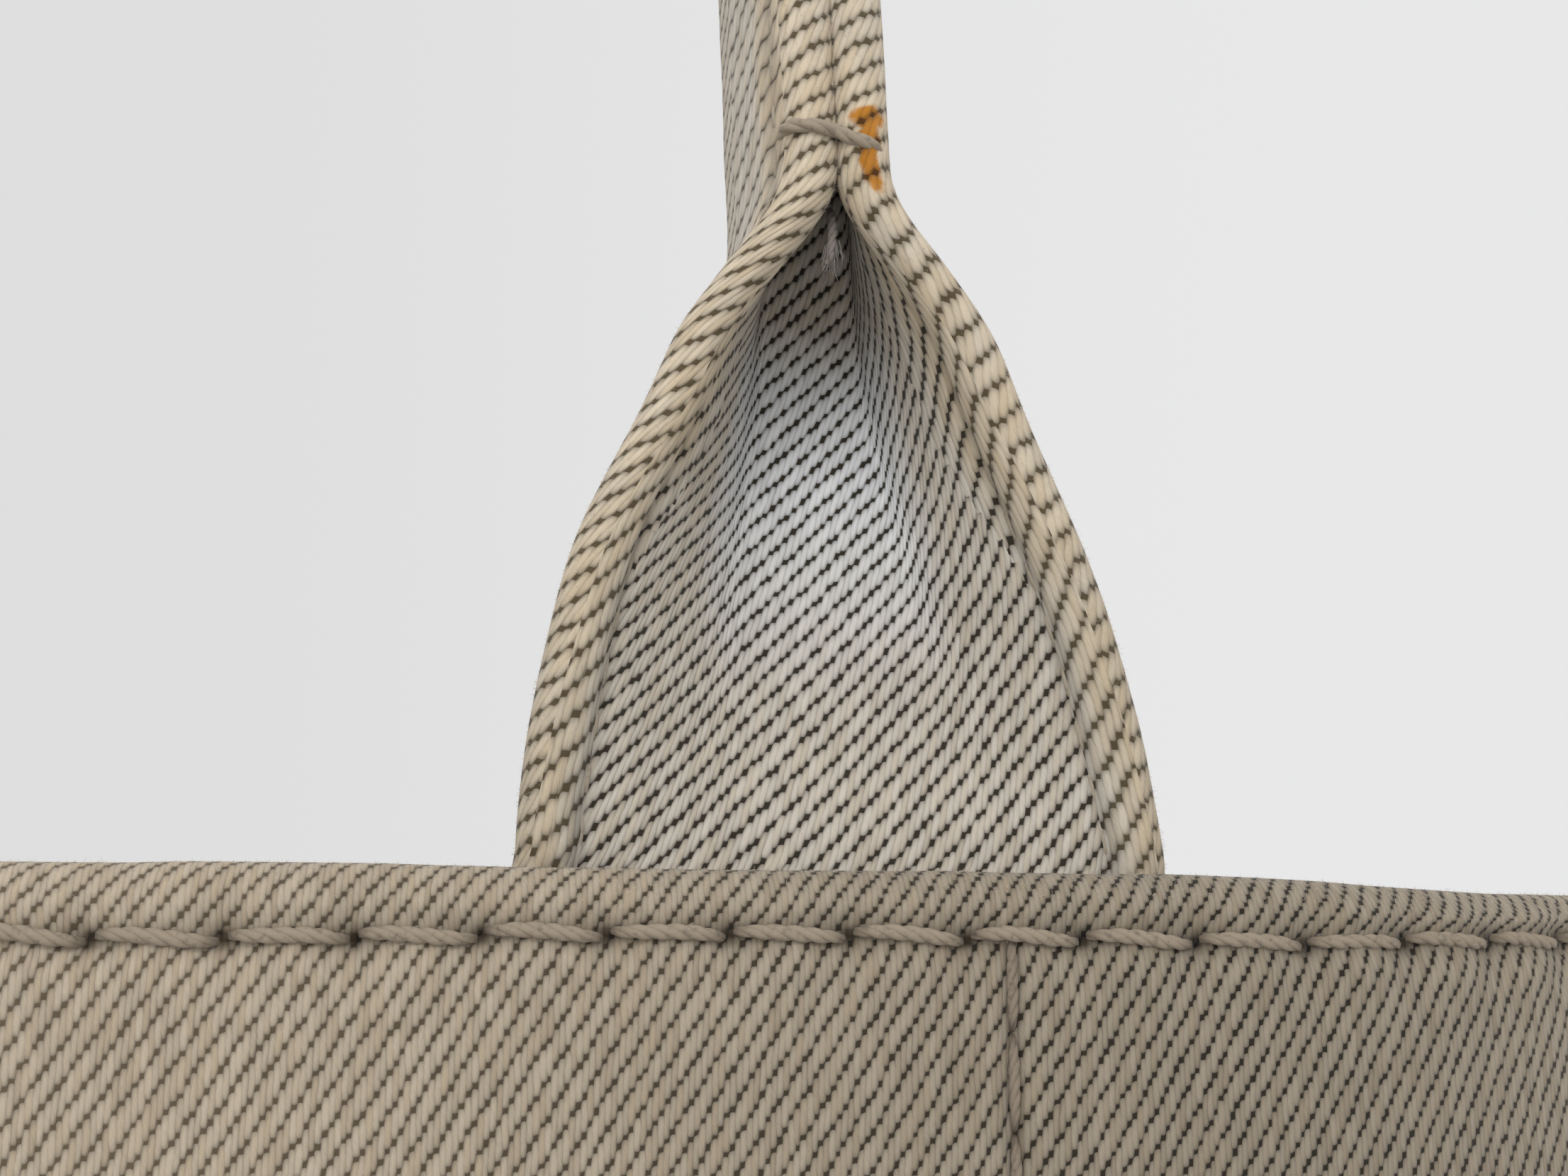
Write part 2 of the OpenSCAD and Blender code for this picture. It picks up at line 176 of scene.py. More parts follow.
def closeGroup(group, **outputs):
    for label in outputs:
        kind = "Color" if label in ("Color", "Chance") else "Float"
        group.interface.new_socket(label, in_out="OUTPUT", socket_type="NodeSocket" + kind)
    end = group.nodes.new("NodeGroupOutput")
    for label, value in outputs.items():
        put(end.inputs[label], value)
    return group


# shared cloth effects; lengths across count threads and lengths along count picks
weave = {"repeat": 4.0, "floatHalf": 1.73, "weftHalf": 0.70, "threadHalf": 0.78, "lean": 0.09, "slub": 0.16,
         "shift": 0.5, "uneven": 0.22, "blunt": 15.0, "narrow": 0.14, "stray": 0.14, "arch": 0.38, "weftHeight": 0.30,
         "bend": 0.5, "bendScale": 0.35, "fibre": (4.2, 1.6, 0.8), "fibreHeight": 0.22, "tone": (0.88, 0.14, 0.30),
         "warmth": (0.35, 1.0, 0.0, 0.7), "deep": (0.48, 0.98), "over": (-0.06, 0.16)}


def makeFloatGroup(w):  # one warp thread of the twill, from its number and the place
    tree, given = openGroup("warpFloat", Across=0.0, Along=0.0, Thread=0.0, Snug=0.0)
    number = given["Thread"]
    own = node(tree, "TexWhiteNoise", {"W": number}, noise_dimensions="1D")
    repeat = (given["Along"] - number + (own - 0.5) * w["shift"]) / w["repeat"]
    along = (calc("FRACT", repeat) - 0.5) * w["repeat"]
    place = node(tree, "CombineXYZ", {0: number, 1: calc("FLOOR", repeat)})
    chance = node(tree, "TexWhiteNoise", {"Vector": place}, noise_dimensions="2D")["Color"]
    tone = node(tree, "SeparateColor", {0: chance})
    share = calc("ABSOLUTE", along) / (given["Snug"] + w["floatHalf"] + (tone[2] - 0.5) * w["uneven"])
    taper = calc("MAXIMUM", 1.0 - share ** w["blunt"], 0.0)
    half = (w["threadHalf"] + (tone[0] - 0.5) * w["slub"]) * (1.0 - share * share * w["narrow"])
    half = calc("MAXIMUM", half * taper ** 0.3, 0.02)
    middle = number + 0.5 + along * w["lean"] + (tone[1] - 0.5) * w["stray"]
    across = (given["Across"] - middle) / half
    crown = calc("MAXIMUM", 1.0 - across * across, 0.0) ** 0.5
    # the height also sets the painted shade in the twill's colour, so the float sides and ends come out darker
    height = crown * taper ** 0.4 * (1.0 - share * share * w["arch"])
    return closeGroup(tree, Height=height, Chance=chance, Gap=w["repeat"] / 2 - calc("ABSOLUTE", along))


def makeTwillGroup(w):  # three-over-one twill, from a UV map counted in threads and picks
    tree, given = openGroup("twillWeave", Vector=None, Light=rgb(222, 213, 196), Warm=rgb(214, 196, 164),
                            Weft=rgb(92, 82, 60), Depth=0.5, Snug=0.0)
    place = given["Vector"]
    soft = node(tree, "SeparateColor", {0: noise(tree, place, w["bendScale"], noise_dimensions="2D")["Color"]})
    straight = node(tree, "SeparateXYZ", {0: place})
    x, y = (straight[axis] + (soft[axis] - 0.5) * w["bend"] for axis in (0, 1))
    own = calc("FLOOR", x)
    beside = own + calc("SIGN", calc("FRACT", x) - 0.5)
    one, two = (node(tree, "Group", {"Across": x, "Along": y, "Thread": number, "Snug": given["Snug"]},
                     node_tree=floatGroup) for number in (own, beside))
    chance = blendColor(calc("GREATER_THAN", two["Height"], one["Height"]), one["Chance"], two["Chance"])
    tone = node(tree, "SeparateColor", {0: chance})
    warpHeight = calc("MAXIMUM", one["Height"], two["Height"])
    across = one["Gap"] / w["weftHalf"]
    weftHeight = calc("SQRT", calc("MAXIMUM", 1.0 - across * across, 0.0)) * w["weftHeight"]
    height = calc("MAXIMUM", warpHeight, weftHeight)
    fibreX, fibreSlant, fibreY = w["fibre"]
    fibreAt = node(tree, "CombineXYZ", {0: x * fibreX + y * fibreSlant, 1: y * fibreY})
    fine = node(tree, "TexNoise", {"Vector": fibreAt, "Scale": 1.0, "Detail": 3.0, "Roughness": 0.65},
                noise_dimensions="2D") - 0.5
    thread = blendColor(remap(tone[2], *w["warmth"]), given["Light"], given["Warm"])
    level, byThread, byFibre = w["tone"]
    # painted shade: level darkens where the thread height falls, between threads and at the float ends; deep gives
    # the height range
    level = (level + tone[0] * byThread + fine * byFibre) * remap(height, *w["deep"], 1.0 - given["Depth"], 1.0)
    # the weft dots take the weft colour: the weft yarn's own colour, darkened further as painted shade in the hollows
    # between floats
    laid = blendColor(remap(warpHeight - weftHeight, *w["over"]), given["Weft"], thread)
    color = blendColor(1.0, laid, grey(level), "MULTIPLY")
    return closeGroup(tree, Color=color, Height=height + fine * w["fibreHeight"])


# grey is the tint of the painted shade that the wall and strap marks lay on
ageShadeSet = {"broad": (22.0, 3.0), "small": 160.0, "patches": (0.35, 0.68), "level": 0.90, "blue": 0.985,
          "yellowed": (0.25, 0.6, 0.55, 1.0), "grey": (205, 206, 206)}


def makeAgeShadeGroup(c):  # patches and the yellowed places, and painted shade: the greyed places and the shade in the grooves
    tree, given = openGroup("clothAgeAndShade", Vector=None, Color=rgb(182, 169, 151), Edge=0.0, Groove=0.0,
                            Yellow=rgb(255, 246, 229), Dirt=rgb(80, 71, 59), Patches=0.5, Fade=0.0)
    broad, small = noise(tree, given["Vector"], *c["broad"]), noise(tree, given["Vector"], c["small"])
    level = c["level"] + remap(broad, *c["patches"]) * (given["Patches"] * 0.2)
    color = blendColor(1.0, given["Color"], grey(level, c["blue"]), "MULTIPLY")
    for share, tint in ((given["Fade"], rgb(*c["grey"])),
                        (given["Edge"] * remap(small, *c["yellowed"]), given["Yellow"]),
                        (given["Groove"], given["Dirt"])):
        color = blendColor(share, color, tint, "MULTIPLY")
    return closeGroup(tree, Color=color)


floatGroup = makeFloatGroup(weave)
twillGroup = makeTwillGroup(weave)
ageShadeGroup = makeAgeShadeGroup(ageShadeSet)


def newMaterial(name, **inputs):
    material = bpy.data.materials.new(name)
    material.use_nodes = True
    shader = material.node_tree.nodes["Principled BSDF"]
    for key, value in inputs.items():
        put(shader.inputs[key.replace("_", " ")], value)
    return material, material.node_tree, shader


# depth sets how dark the painted shade between the threads is
def clothMaterial(name, light=(182, 169, 151), warm=(172, 156, 134), weft=(112, 97, 78), weftPale=(116, 101, 81),
                  depth=0.42, snug=0.0, paleSnug=0.0, paintedLight=None, stain=False, withShading=False):
    material, tree, shader = newMaterial(name, Roughness=0.92, Sheen_Weight=0.12, Sheen_Roughness=0.5,
                                         Specular_IOR_Level=0.18)
    place, pale = node(tree, "TexCoord")["Object"], mark(tree, "pale")
    # on the outer canvas pale is one minus the painted shade, so there the weft dots shrink and pale where that shade
    # is light
    dotShrink = remap(pale, 0.0, 1.0, snug, snug + paleSnug, "LINEAR") + remap(pale, 1.0, 2.0, 0.0, 0.28, "LINEAR")
    # weft and weftPale are the weft yarn's colour together with painted shade in its hollows
    colors = {"Weft": blendColor(pale, rgb(*weft), rgb(*weftPale))}
    # painted light: where the strap's fold-interior mark is set, Light and Warm turn lighter and bluer
    for key, value in (("Light", light), ("Warm", warm)):
        colors[key] = blendColor(mark(tree, "paintedLight"), rgb(*value), rgb(*paintedLight)) if paintedLight else rgb(*value)
    uv = node(tree, "UVMap", uv_map="weave")
    twill = node(tree, "Group", {"Vector": uv, "Depth": depth, "Snug": dotShrink, **colors}, node_tree=twillGroup)
    marks = {key: mark(tree, key.lower()) for key in ("Edge", "Groove") + (("Fade",) if withShading else ())}
    color = node(tree, "Group", {"Vector": place, "Color": twill["Color"], **marks}, node_tree=ageShadeGroup)
    if stain:
        spots = mark(tree, "stain") + noise(tree, place, 1500.0) * 0.9
        color = blendColor(remap(spots, 0.85, 1.25), color, rgb(226, 164, 70), "MULTIPLY")
    put(shader.inputs["Base Color"], color)
    put(shader.inputs["Normal"], bumped(tree, twill["Height"], 0.00018))
    return material


# bodyCanvas: the dark weft shows where the painted shade is deep, the pale weft where it is light
bodyCloth = clothMaterial("bodyCanvas", weft=(64, 56, 43), weftPale=(122, 107, 86), depth=0.37, snug=0.01,
                          paleSnug=0.05, withShading=True)
# the strap's third colour, lighter and bluer, is painted light inside the fold
strapCloth = clothMaterial("strapCanvas", light=(203, 195, 184), warm=(195, 183, 166), weft=(70, 63, 51),
                           weftPale=(116, 104, 82), depth=0.46, snug=-0.03, paintedLight=(226, 228, 231), stain=True,
                           withShading=True)
pocketCloth = clothMaterial("pocketCanvas", light=(184, 171, 152), weft=(104, 90, 72))
liningCloth = clothMaterial("liningCanvas", light=(200, 193, 181), warm=(192, 182, 165), weft=(134, 126, 111),
                            depth=0.35)
tapeCloth = clothMaterial("bindingTape", light=(178, 166, 148), warm=(169, 153, 132), weft=(108, 97, 80), depth=0.45)


def threadMaterial(name, color):
    material, tree, shader = newMaterial(name, Roughness=0.8, Sheen_Weight=0.1, Specular_IOR_Level=0.3)
    grain = noise(tree, node(tree, "TexCoord")["Object"], 2600.0, 3.0)
    tone = blendColor(remap(grain, 0.2, 0.5), rgb(*(v * 0.78 for v in color)), rgb(*color))
    # painted shade: the groove mark darkens each stitch towards its ends, where it dives into the holes
    put(shader.inputs["Base Color"], blendColor(mark(tree, "groove"), tone, rgb(120, 112, 100), "MULTIPLY"))
    put(shader.inputs["Normal"], bumped(tree, grain, 0.00006))
    return material


stitchThread = threadMaterial("stitchThread", (140, 128, 112))
fibreThread = threadMaterial("fibres", (206, 196, 180))
# looseThread: a grey thread, darkened further for the shade deep in the fold: partly painted shade
looseThread = threadMaterial("looseThread", (118, 111, 105))
ditchThread = threadMaterial("ditchThread", (150, 140, 124))
seamThread = threadMaterial("seamThread", (126, 114, 100))

# steps to the next thread and the next pick, in mm
grains = {"body": ((0.309, 0.034), (0.0, 0.482)), "strap": ((0.346, -0.022), (0.186, 0.546)),
          "plain": ((0.32, 0.0), (0.0, 0.5)), "leftBand": ((0.44, -0.14), (0.28, 0.55)),
          "rightBand": ((0.42, -0.20), (0.28, 0.56)), "bandInside": ((0.45, -0.03), (0.03, 0.58)),
          "outerFace": ((0.85, -0.15), (0.35, 0.58))}


def weaveUv(across, up, grain):
    (ax, ay), (bx, by) = grains[grain]
    area = ax * by - ay * bx
    return np.stack([(by * across - bx * up) / area, (-ay * across + ax * up) / area], -1)

# mesh helpers


def addMesh(name, points, faces, marks=None):  # points in mm, marks by name for each point
    mesh = bpy.data.meshes.new(name)
    mesh.from_pydata((points.reshape(-1, 3) / 1000).tolist(), [], faces)
    for key, values in (marks or {}).items():
        values = np.broadcast_to(values, points.shape[:-1]).astype(np.float32).ravel()
        mesh.attributes.new(key, "FLOAT", "POINT").data.foreach_set("value", values)
    mesh.shade_smooth()
    obj = bpy.data.objects.new(name, mesh)
    bpy.context.scene.collection.objects.link(obj)
    return obj


def finish(obj, material, body, replaces=()):
    obj.data.materials.clear()
    obj.data.materials.append(material)
    if body:
        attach(obj, body)
    if replaces:
        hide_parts(*replaces)
    return obj


def loft(name, points, uv, loop=False, marks=None, bands=()):
    # closed rings of points, joined into a loop or capped; bands hold the faces whose grain runs another way
    n, m = points.shape[:2]
    rows = n if loop else n - 1
    i, j = np.meshgrid(np.arange(rows), np.arange(m), indexing="ij")
    corner = [np.stack([i + di, j + dj], -1) for di, dj in ((0, 0), (0, 1), (1, 1), (1, 0))]
    corner = np.stack(corner, -2).reshape(-1, 2)
    quads = (corner[:, 0] % n * m + corner[:, 1] % m).reshape(-1, 4)
    p = points.reshape(-1, 3)[quads]
    volume = np.einsum("ij,ij->", p[:, 0], np.cross(p[:, 1], p[:, 2]) + np.cross(p[:, 2], p[:, 3]))
    faces = quads.tolist()
    loops = uv[corner[:, 0], corner[:, 1]]
    for chosen, other in bands:
        used = np.repeat(np.broadcast_to(chosen, (n, m))[:rows].ravel(), 4)
        loops[used] = other[corner[:, 0], corner[:, 1]][used]
    if not loop:
        faces += [list(range(m))[::-1], list(range((n - 1) * m, n * m))]
        loops = np.concatenate([loops, uv[0, :m][::-1], uv[n - 1, :m]])
    obj = addMesh(name, points, faces, marks)
    obj.data.uv_layers.new(name="weave").data.foreach_set("uv", loops.astype(np.float32).ravel())
    if volume < 0:
        obj.data.flip_normals()
    obj.data.update()
    return obj


def smooth(x, low, high):
    x = np.clip((np.asarray(x, float) - low) / (high - low), 0, 1)
    return x * x * (3 - 2 * x)


def dip(x, width):
    return np.exp(-(x / width) ** 2)


def dips(x, *pairs):  # pairs of depth and width
    return sum(size * dip(x, width) for size, width in pairs)


def ripple(x, seed, step):  # soft noise along one line
    x = np.asarray(x, float) / step
    cell = np.floor(x)
    part = smooth(x - cell, 0, 1)

    def chance(c):
        return np.modf(np.abs(np.sin(c * 12.9898 + seed * 78.233)) * 43758.5453)[0] - 0.5
    return chance(cell) * (1 - part) + chance(cell + 1) * part


def ripple2(x, y, seed, step):  # soft noise over a face
    x, y = np.asarray(x, float) / step, np.asarray(y, float) / step
    cx, cy = np.floor(x), np.floor(y)
    fx, fy = smooth(x - cx, 0, 1), smooth(y - cy, 0, 1)

    def chance(a, b):
        return np.modf(np.abs(np.sin(a * 127.1 + b * 311.7 + seed * 74.7)) * 43758.5453)[0] - 0.5
    return ((chance(cx, cy) * (1 - fx) + chance(cx + 1, cy) * fx) * (1 - fy)
            + (chance(cx, cy + 1) * (1 - fx) + chance(cx + 1, cy + 1) * fx) * fy)


def runOf(x, y):  # length along a line, from its first point
    return np.concatenate([[0], np.cumsum(np.hypot(np.diff(x), np.diff(y)))])


def closed(grid, on=0.0, past=None):  # adds the first ring, moved on, and the first column or one past the last
    grid = np.concatenate([grid, grid[:1] + on])
    return np.concatenate([grid, grid[:, :1] if past is None else grid[:, -1:] + past], 1)


def repeated(grid):  # with the first column again
    return np.concatenate([grid, grid[:, :1]], 1)


def arc(radius, turn):
    return radius, turn, radius * turn


cornerTurn = math.pi / 2 - sideAngle
roundSide = [arc(cornerR, cornerTurn), arc(sideR, 2 * sideAngle), arc(cornerR, cornerTurn)]
wallParts = [(0, 0, panelHalf)] + roundSide + [(0, 0, 2 * panelHalf)] + roundSide + [(0, 0, panelHalf)]
girth = sum(part[2] for part in wallParts)
rearT = girth / 2


def wallAt(t):  # the wall's outside and the way it faces, from the run round it
    t = np.mod(np.asarray(t, float), girth)
    x, y, angle = (np.zeros_like(t) for k in range(3))
    start, heading, px, py = 0.0, 0.0, 0.0, -halfDepth
    for radius, turn, length in wallParts:
        inside = (t >= start - 1e-9) & (t <= start + length + 1e-9)
        d = t[inside] - start
        if radius:
            cx, cy = px - radius * math.sin(heading), py + radius * math.cos(heading)
            h = heading + d / radius
            x[inside], y[inside], angle[inside] = cx + radius * np.sin(h), cy - radius * np.cos(h), h
            heading += turn
            px, py = cx + radius * math.sin(heading), cy - radius * math.cos(heading)
        else:
            ux, uy = math.cos(heading), math.sin(heading)
            x[inside], y[inside], angle[inside] = px + d * ux, py + d * uy, heading
            px, py = px + length * ux, py + length * uy
        start += length
    return x, y, np.sin(angle), -np.cos(angle)


def wallPoints(t, out, z):
    x, y, nx, ny = wallAt(t)
    return np.stack(np.broadcast_arrays(x + nx * out, y + ny * out, z), -1)


# outer canvas with its turned hem
canvasSet = {"ply": 1.0, "hem": 28.0, "bottom": 1.4, "stitchZ": rimZ - 4.0, "stitchPitch": 6.5, "near": (-6.0, 98.0),
             "firstHole": 2.0, "step": (0.36, 5.0), "seamWave": (0.12, 4, 5.0), "lineWave": (0.45, 11, 9.0),
             "cut": 0.331, "topWaves": ((0.3, 3, 19.0), (0.14, 5, 4.4)), "topShift": -0.25,
             "topFalls": ((0.85, 62, 92), (0.6, 98, 165)), "topBack": (480, 620), "fat": (0.15, 21, 7.0),
             "relief": ((0.35, 1, 34.0), (0.16, 2, 11.0), (0.05, 8, 3.2)), "reliefFrom": (200, 290), "deepest": -0.8,
             "holeDips": ((0.55, 0.55), (0.24, 1.7)), "lineDip": (0.36, 1.0), "puff": (0.20, 1.8, 1.5),
             "seamDips": ((0.55, 0.48), (0.16, 2.0)), "holeDirt": ((1.0, 0.5), (0.15, 1.1)), "lineDirt": (0.20, 0.7),
             "seamDirt": (0.55, 0.40), "grainBow": (2.2, -14, 34), "grainWave": (0.7, 51, 26.0),
             "grainLumps": ((0.14, 52, 2.6), (0.35, 53, 14.0), (0.10, 56, 2.2))}
seamPlaces = [seamX, rearT - seamX, rearT + seamX, girth - seamX]
stitchCount = int(round(girth / canvasSet["stitchPitch"]))
stitchPitch = girth / stitchCount
firstHole = canvasSet["firstHole"]


def wave(x, size, seed, step):
    return size * ripple(x, seed, step)


def lumps(x, y, size, seed, step):
    return size * ripple2(x, y, seed, step)


def topShift(t):  # height of the hem's edge, waviness and the low corner
    c, t = canvasSet, np.mod(np.asarray(t, float), girth)
    low = sum(size * smooth(t, start, end) for size, start, end in c["topFalls"]) * (1 - smooth(t, *c["topBack"]))
    return c["topShift"] + sum(wave(t, *each) for each in c["topWaves"]) - low


def shadingAt(t):  # painted shade: the wall darkens in broad bands round the bucket, darkest just right of the front strap
    return 0.5 + 0.5 * np.cos((t - 72.0) / girth * 12 * math.pi)


def stitchLine(t):
    return canvasSet["stitchZ"] + wave(t, *canvasSet["lineWave"])


def seamGap(t, z, place):
    return np.abs(t - place - wave(z, *canvasSet["seamWave"]))


def holeDistance(t, z):
    near = np.round((t - firstHole) / stitchPitch) * stitchPitch + firstHole
    return np.hypot(t - near, z - stitchLine(near))


def wallRelief(c, t, z):
    up = smooth(z, *c["reliefFrom"])
    broad, *small = (lumps(t, z, *each) for each in c["relief"])
    line = np.abs(z - stitchLine(t))
    size, off, width = c["puff"]
    relief = broad + sum(small) * up - dips(holeDistance(t, z), *c["holeDips"]) - dips(line, c["lineDip"])
    relief = relief - size * np.cos((t - firstHole) / stitchPitch * 2 * math.pi) * dip(line - off, width)
    seams = sum(dips(seamGap(t, z, place), *c["seamDips"]) for place in seamPlaces)
    return np.maximum(relief - seams * smooth(z, c["stitchZ"] + 0.5, c["stitchZ"] - 1.5), c["deepest"])


def makeOuterCanvas(c):
    fine, wide = c["step"]
    first, last = c["near"]
    t = np.concatenate([np.arange(-girth / 4, first, wide), np.arange(first, last, fine),
                        np.arange(last, girth * 0.75 - 0.5, wide)])
    up = np.concatenate([np.linspace(c["bottom"], 160, 14)[:-1], np.linspace(160, 281, 10)[:-1],
                         np.arange(281, axisZ, fine)])
    turn, inner, hemLow = np.linspace(0, math.pi, 13), rollR - c["ply"], rimZ - c["hem"]
    profile = ([(0.0, z) for z in up]
               + [(rollR - rollR * math.cos(a), axisZ + rollR * math.sin(a)) for a in turn]
               + [(wallT, z) for z in np.linspace(axisZ - 1, hemLow, 9)]
               + [(wallT - c["ply"], z) for z in (hemLow, 290.0)]
               + [(rollR - inner * math.cos(a), axisZ + inner * math.sin(a)) for a in turn[::3][::-1]]
               + [(c["ply"], z) for z in (280.0, 160.0, c["bottom"])])
    depth, height = np.array(profile).T
    place, deep = np.meshgrid(t, depth, indexing="ij")
    level, run = (np.broadcast_to(row, place.shape) for row in (height, runOf(depth, height)))
    facing = np.clip(1 - deep / rollR, -1, 1)  # outside +1, inside -1
    shown = np.where(facing > 0, smooth(facing, 0.0, 0.5), 0.0) * (deep < 0.9) * (level > c["bottom"] + 1)
    line = stitchLine(place)
    fat = wave(place, *c["fat"]) * smooth(level, line + 0.6, rimZ - 1.5) * (np.abs(facing) > 0.3) * np.sign(facing)
    points = wallPoints(place, wallRelief(c, place, level) * shown + fat - deep,
                        level + topShift(place) * smooth(level, line + 0.3, rimZ - 0.6))
    across, along = closed(place, girth), closed(run, 0.0, 1.0)
    size, *span = c["grainBow"]
    first, *others = (lumps(across, along, *each) for each in c["grainLumps"])
    bow = size * smooth(across, *span) + wave(across, *c["grainWave"]) + first
    uv = weaveUv(across + sum(others), along + bow, "body")
    # painted shade: groove darkens the needle holes, the stitch line and the seams
    groove = dips(holeDistance(place, level), *c["holeDirt"]) + dips(level - line, c["lineDirt"])
    for seam in seamPlaces:
        groove = groove + dips(seamGap(place, level, seam), c["seamDirt"]) * (level < c["stitchZ"])
    # painted shade: darker to the right of the front strap, with darker, larger weft dots there
    fade = shadingAt(place)
    marks = {"groove": np.clip(groove * (facing > 0.2), 0, 1), "edge": 0.0, "pale": 1 - fade, "fade": fade}
    obj = loft("outerCanvas", points, uv, loop=True, marks=marks)
    log("outer canvas %d faces" % len(obj.data.polygons))
    return finish(obj, bodyCloth, "bucket", ["outer_canvas"])


outerCanvas = makeOuterCanvas(canvasSet)

# handle straps: one folded webbing for each handle, from the ends sewn inside the hem
foldPlaces = (0, 5, 12, 18, 23.7, 27, 32, 36)
curlPlaces = (0, 24, 32, 38, 46, 54)
middlePlaces = (0, 6, 12, 22, 30, 36, 44)
tipPlaces = (34, 36, 37.6, 39.2)
strapSet = {"width": strapWidth, "thick": 2.4, "edgeThick": 3.3, "leg": 65.0, "lean": 3.0,
            "ditch": 15.5, "ditchBack": 16.6, "turnAt": 18.4,
            "foldLeft": (foldPlaces, (6, 22, 36, 47, 62, 69, 74, 77)),
            "foldRight": (foldPlaces, (6, 20, 36, 51, 64, 70, 76, 80)),
            "curlLeft": (curlPlaces, (0, 0, 16, 32, 38, 30)), "curlRight": (curlPlaces, (0, 0, 10, 15, 12, 10)),
            "tipLeft": (tipPlaces, (5.6, 4.4, 2.8, 1.5)), "tipRight": (tipPlaces, (5.6, 4.4, 2.8, 1.45)),
            "crease": ((0, 8, 16, 34, 44), (6.0, 4.2, 3.4, 3.2, 3.6)), "hinge": (14.8, 16.6),
            "middleLeft": (middlePlaces, (6.0, 5.5, 4.8, 3.7, 2.8, 2.4, 2.1)),
            "middleRight": (middlePlaces, (7.4, 7.0, 6.3, 4.8, 3.3, 2.7, 2.1)),
            "ditchWave": (0.15, 31, 6.0), "ditchDip": (0.30, 0.42), "edgeWave": (0.11, 43, 5.0),
            "lumps": ((0.22, 41, 7.0), (0.10, 42, 2.6)), "grainLumps": ((0.25, 54, 9.0), (0.3, 55, 9.0)),
            "blend": {False: (291.0, 303.0), True: (-3.4, 3.3)},  # up the front, and across the hem at the rear
            "shift": (0.28, 0.80), "toeIn": 2.083, "toeUp": 2.273, "endIn": 4.8, "turned": 165.0, "near": 62.0,
            "stains": ((43.7, 21.3, 0.8, 1.4), (40.2, 21.2, 1.6, 0.8), (42.2, 21.3, 0.9, 0.8))}
sideNames = {False: "front", True: "rear"}
legLean = math.radians(strapSet["lean"])
archR = (legX - strapSet["leg"] * math.sin(legLean)) / math.cos(legLean)
archZ = strapSet["leg"] * math.cos(legLean) - archR * math.sin(legLean)
strapLength = 2 * strapSet["leg"] + archR * (math.pi - 2 * legLean)
halfThick, edgeR = strapSet["thick"] / 2, strapSet["edgeThick"] / 2
strapEdge = strapSet["width"] / 2 - edgeR  # middle of the rounded edge


def routeAt(s):  # middle line in the handle's plane, and its heading
    s = np.asarray(s, float)
    mirror = s > strapLength / 2
    q = np.where(mirror, strapLength - s, s)
    straight = q <= strapSet["leg"]
    heading = math.pi / 2 + legLean + np.clip(q - strapSet["leg"], 0, None) / archR
    x = np.where(straight, legX - q * math.sin(legLean), archR * np.cos(heading - math.pi / 2))
    z = np.where(straight, q * math.cos(legLean), archZ + archR * np.sin(heading - math.pi / 2))
    turn = np.where(straight, math.pi / 2 + legLean * smooth(q, 0, 44), heading)
    return np.where(mirror, -x, x), z, np.where(mirror, math.pi * 2 - turn, turn)


def halfSection(c, fold, middle, crease, curl, a):  # half of the folded strap, from its middle to one edge
    fine = np.linspace(0, c["width"] / 2, 191)
    bend = fold[:, None] * smooth(fine[None, :], middle[:, None], (middle + crease)[:, None])
    bend = bend + curl[:, None] * smooth(fine[None, :], *c["hinge"])
    grids = [np.pad(np.cumsum((v[:, 1:] + v[:, :-1]) / 2 * fine[1], 1), ((0, 0), (1, 0)))
             for v in (np.cos(bend), np.sin(bend))]
    return [np.stack([np.interp(a, fine, row) for row in grid]) for grid in (*grids, bend)]


def makeFoldTable(c):  # how far each half is folded, every half millimetre along the strap
    q = np.arange(0, 100, 0.5)
    ease = dip(q[:, None] - q[None, :], 2.2)
    ease /= ease.sum(1, keepdims=True)
    crease = ease @ np.interp(q, *c["crease"])
    edge = np.array([strapEdge])
    table, rise = {"q": q}, []
    for side in ("Left", "Right"):
        curl = ease @ np.radians(np.interp(q, *c["curl" + side]))
        middle = ease @ np.interp(q, *c["middle" + side])
        tip = np.interp(q, *c["tip" + side])
        low, high = (np.radians(np.full(len(q), degrees)) for degrees in (50.0, 130.0))
        for step in range(20):  # folds on until the edge stands where it touches the other
            half = (low + high) / 2
            reached = halfSection(c, half, middle, crease, curl, edge)[0][:, 0]
            low, high = np.where(reached > tip, half, low), np.where(reached > tip, high, half)
        share = smooth(q, 31.0, 35.0)
        fold = ease @ (np.radians(np.interp(q, *c["fold" + side])) * (1 - share) + (low + high) / 2 * share)
        table[side] = (fold, middle, crease, curl)
        rise.append(halfSection(c, *table[side], edge)[1][:, 0])
    table["rise"] = np.maximum(*rise)
    return table


foldTable = makeFoldTable(strapSet)


def strapRun(rear):  # the run over the hem, the run to the foot of the leg, and the whole run from hinge to hinge
    wrap = math.radians(strapSet["turned"]) * (strapSet["toeIn"] + halfThick) if rear else 0.0
    first = wrap + strapSet["toeUp"]
    return wrap, first, 2 * first + strapLength


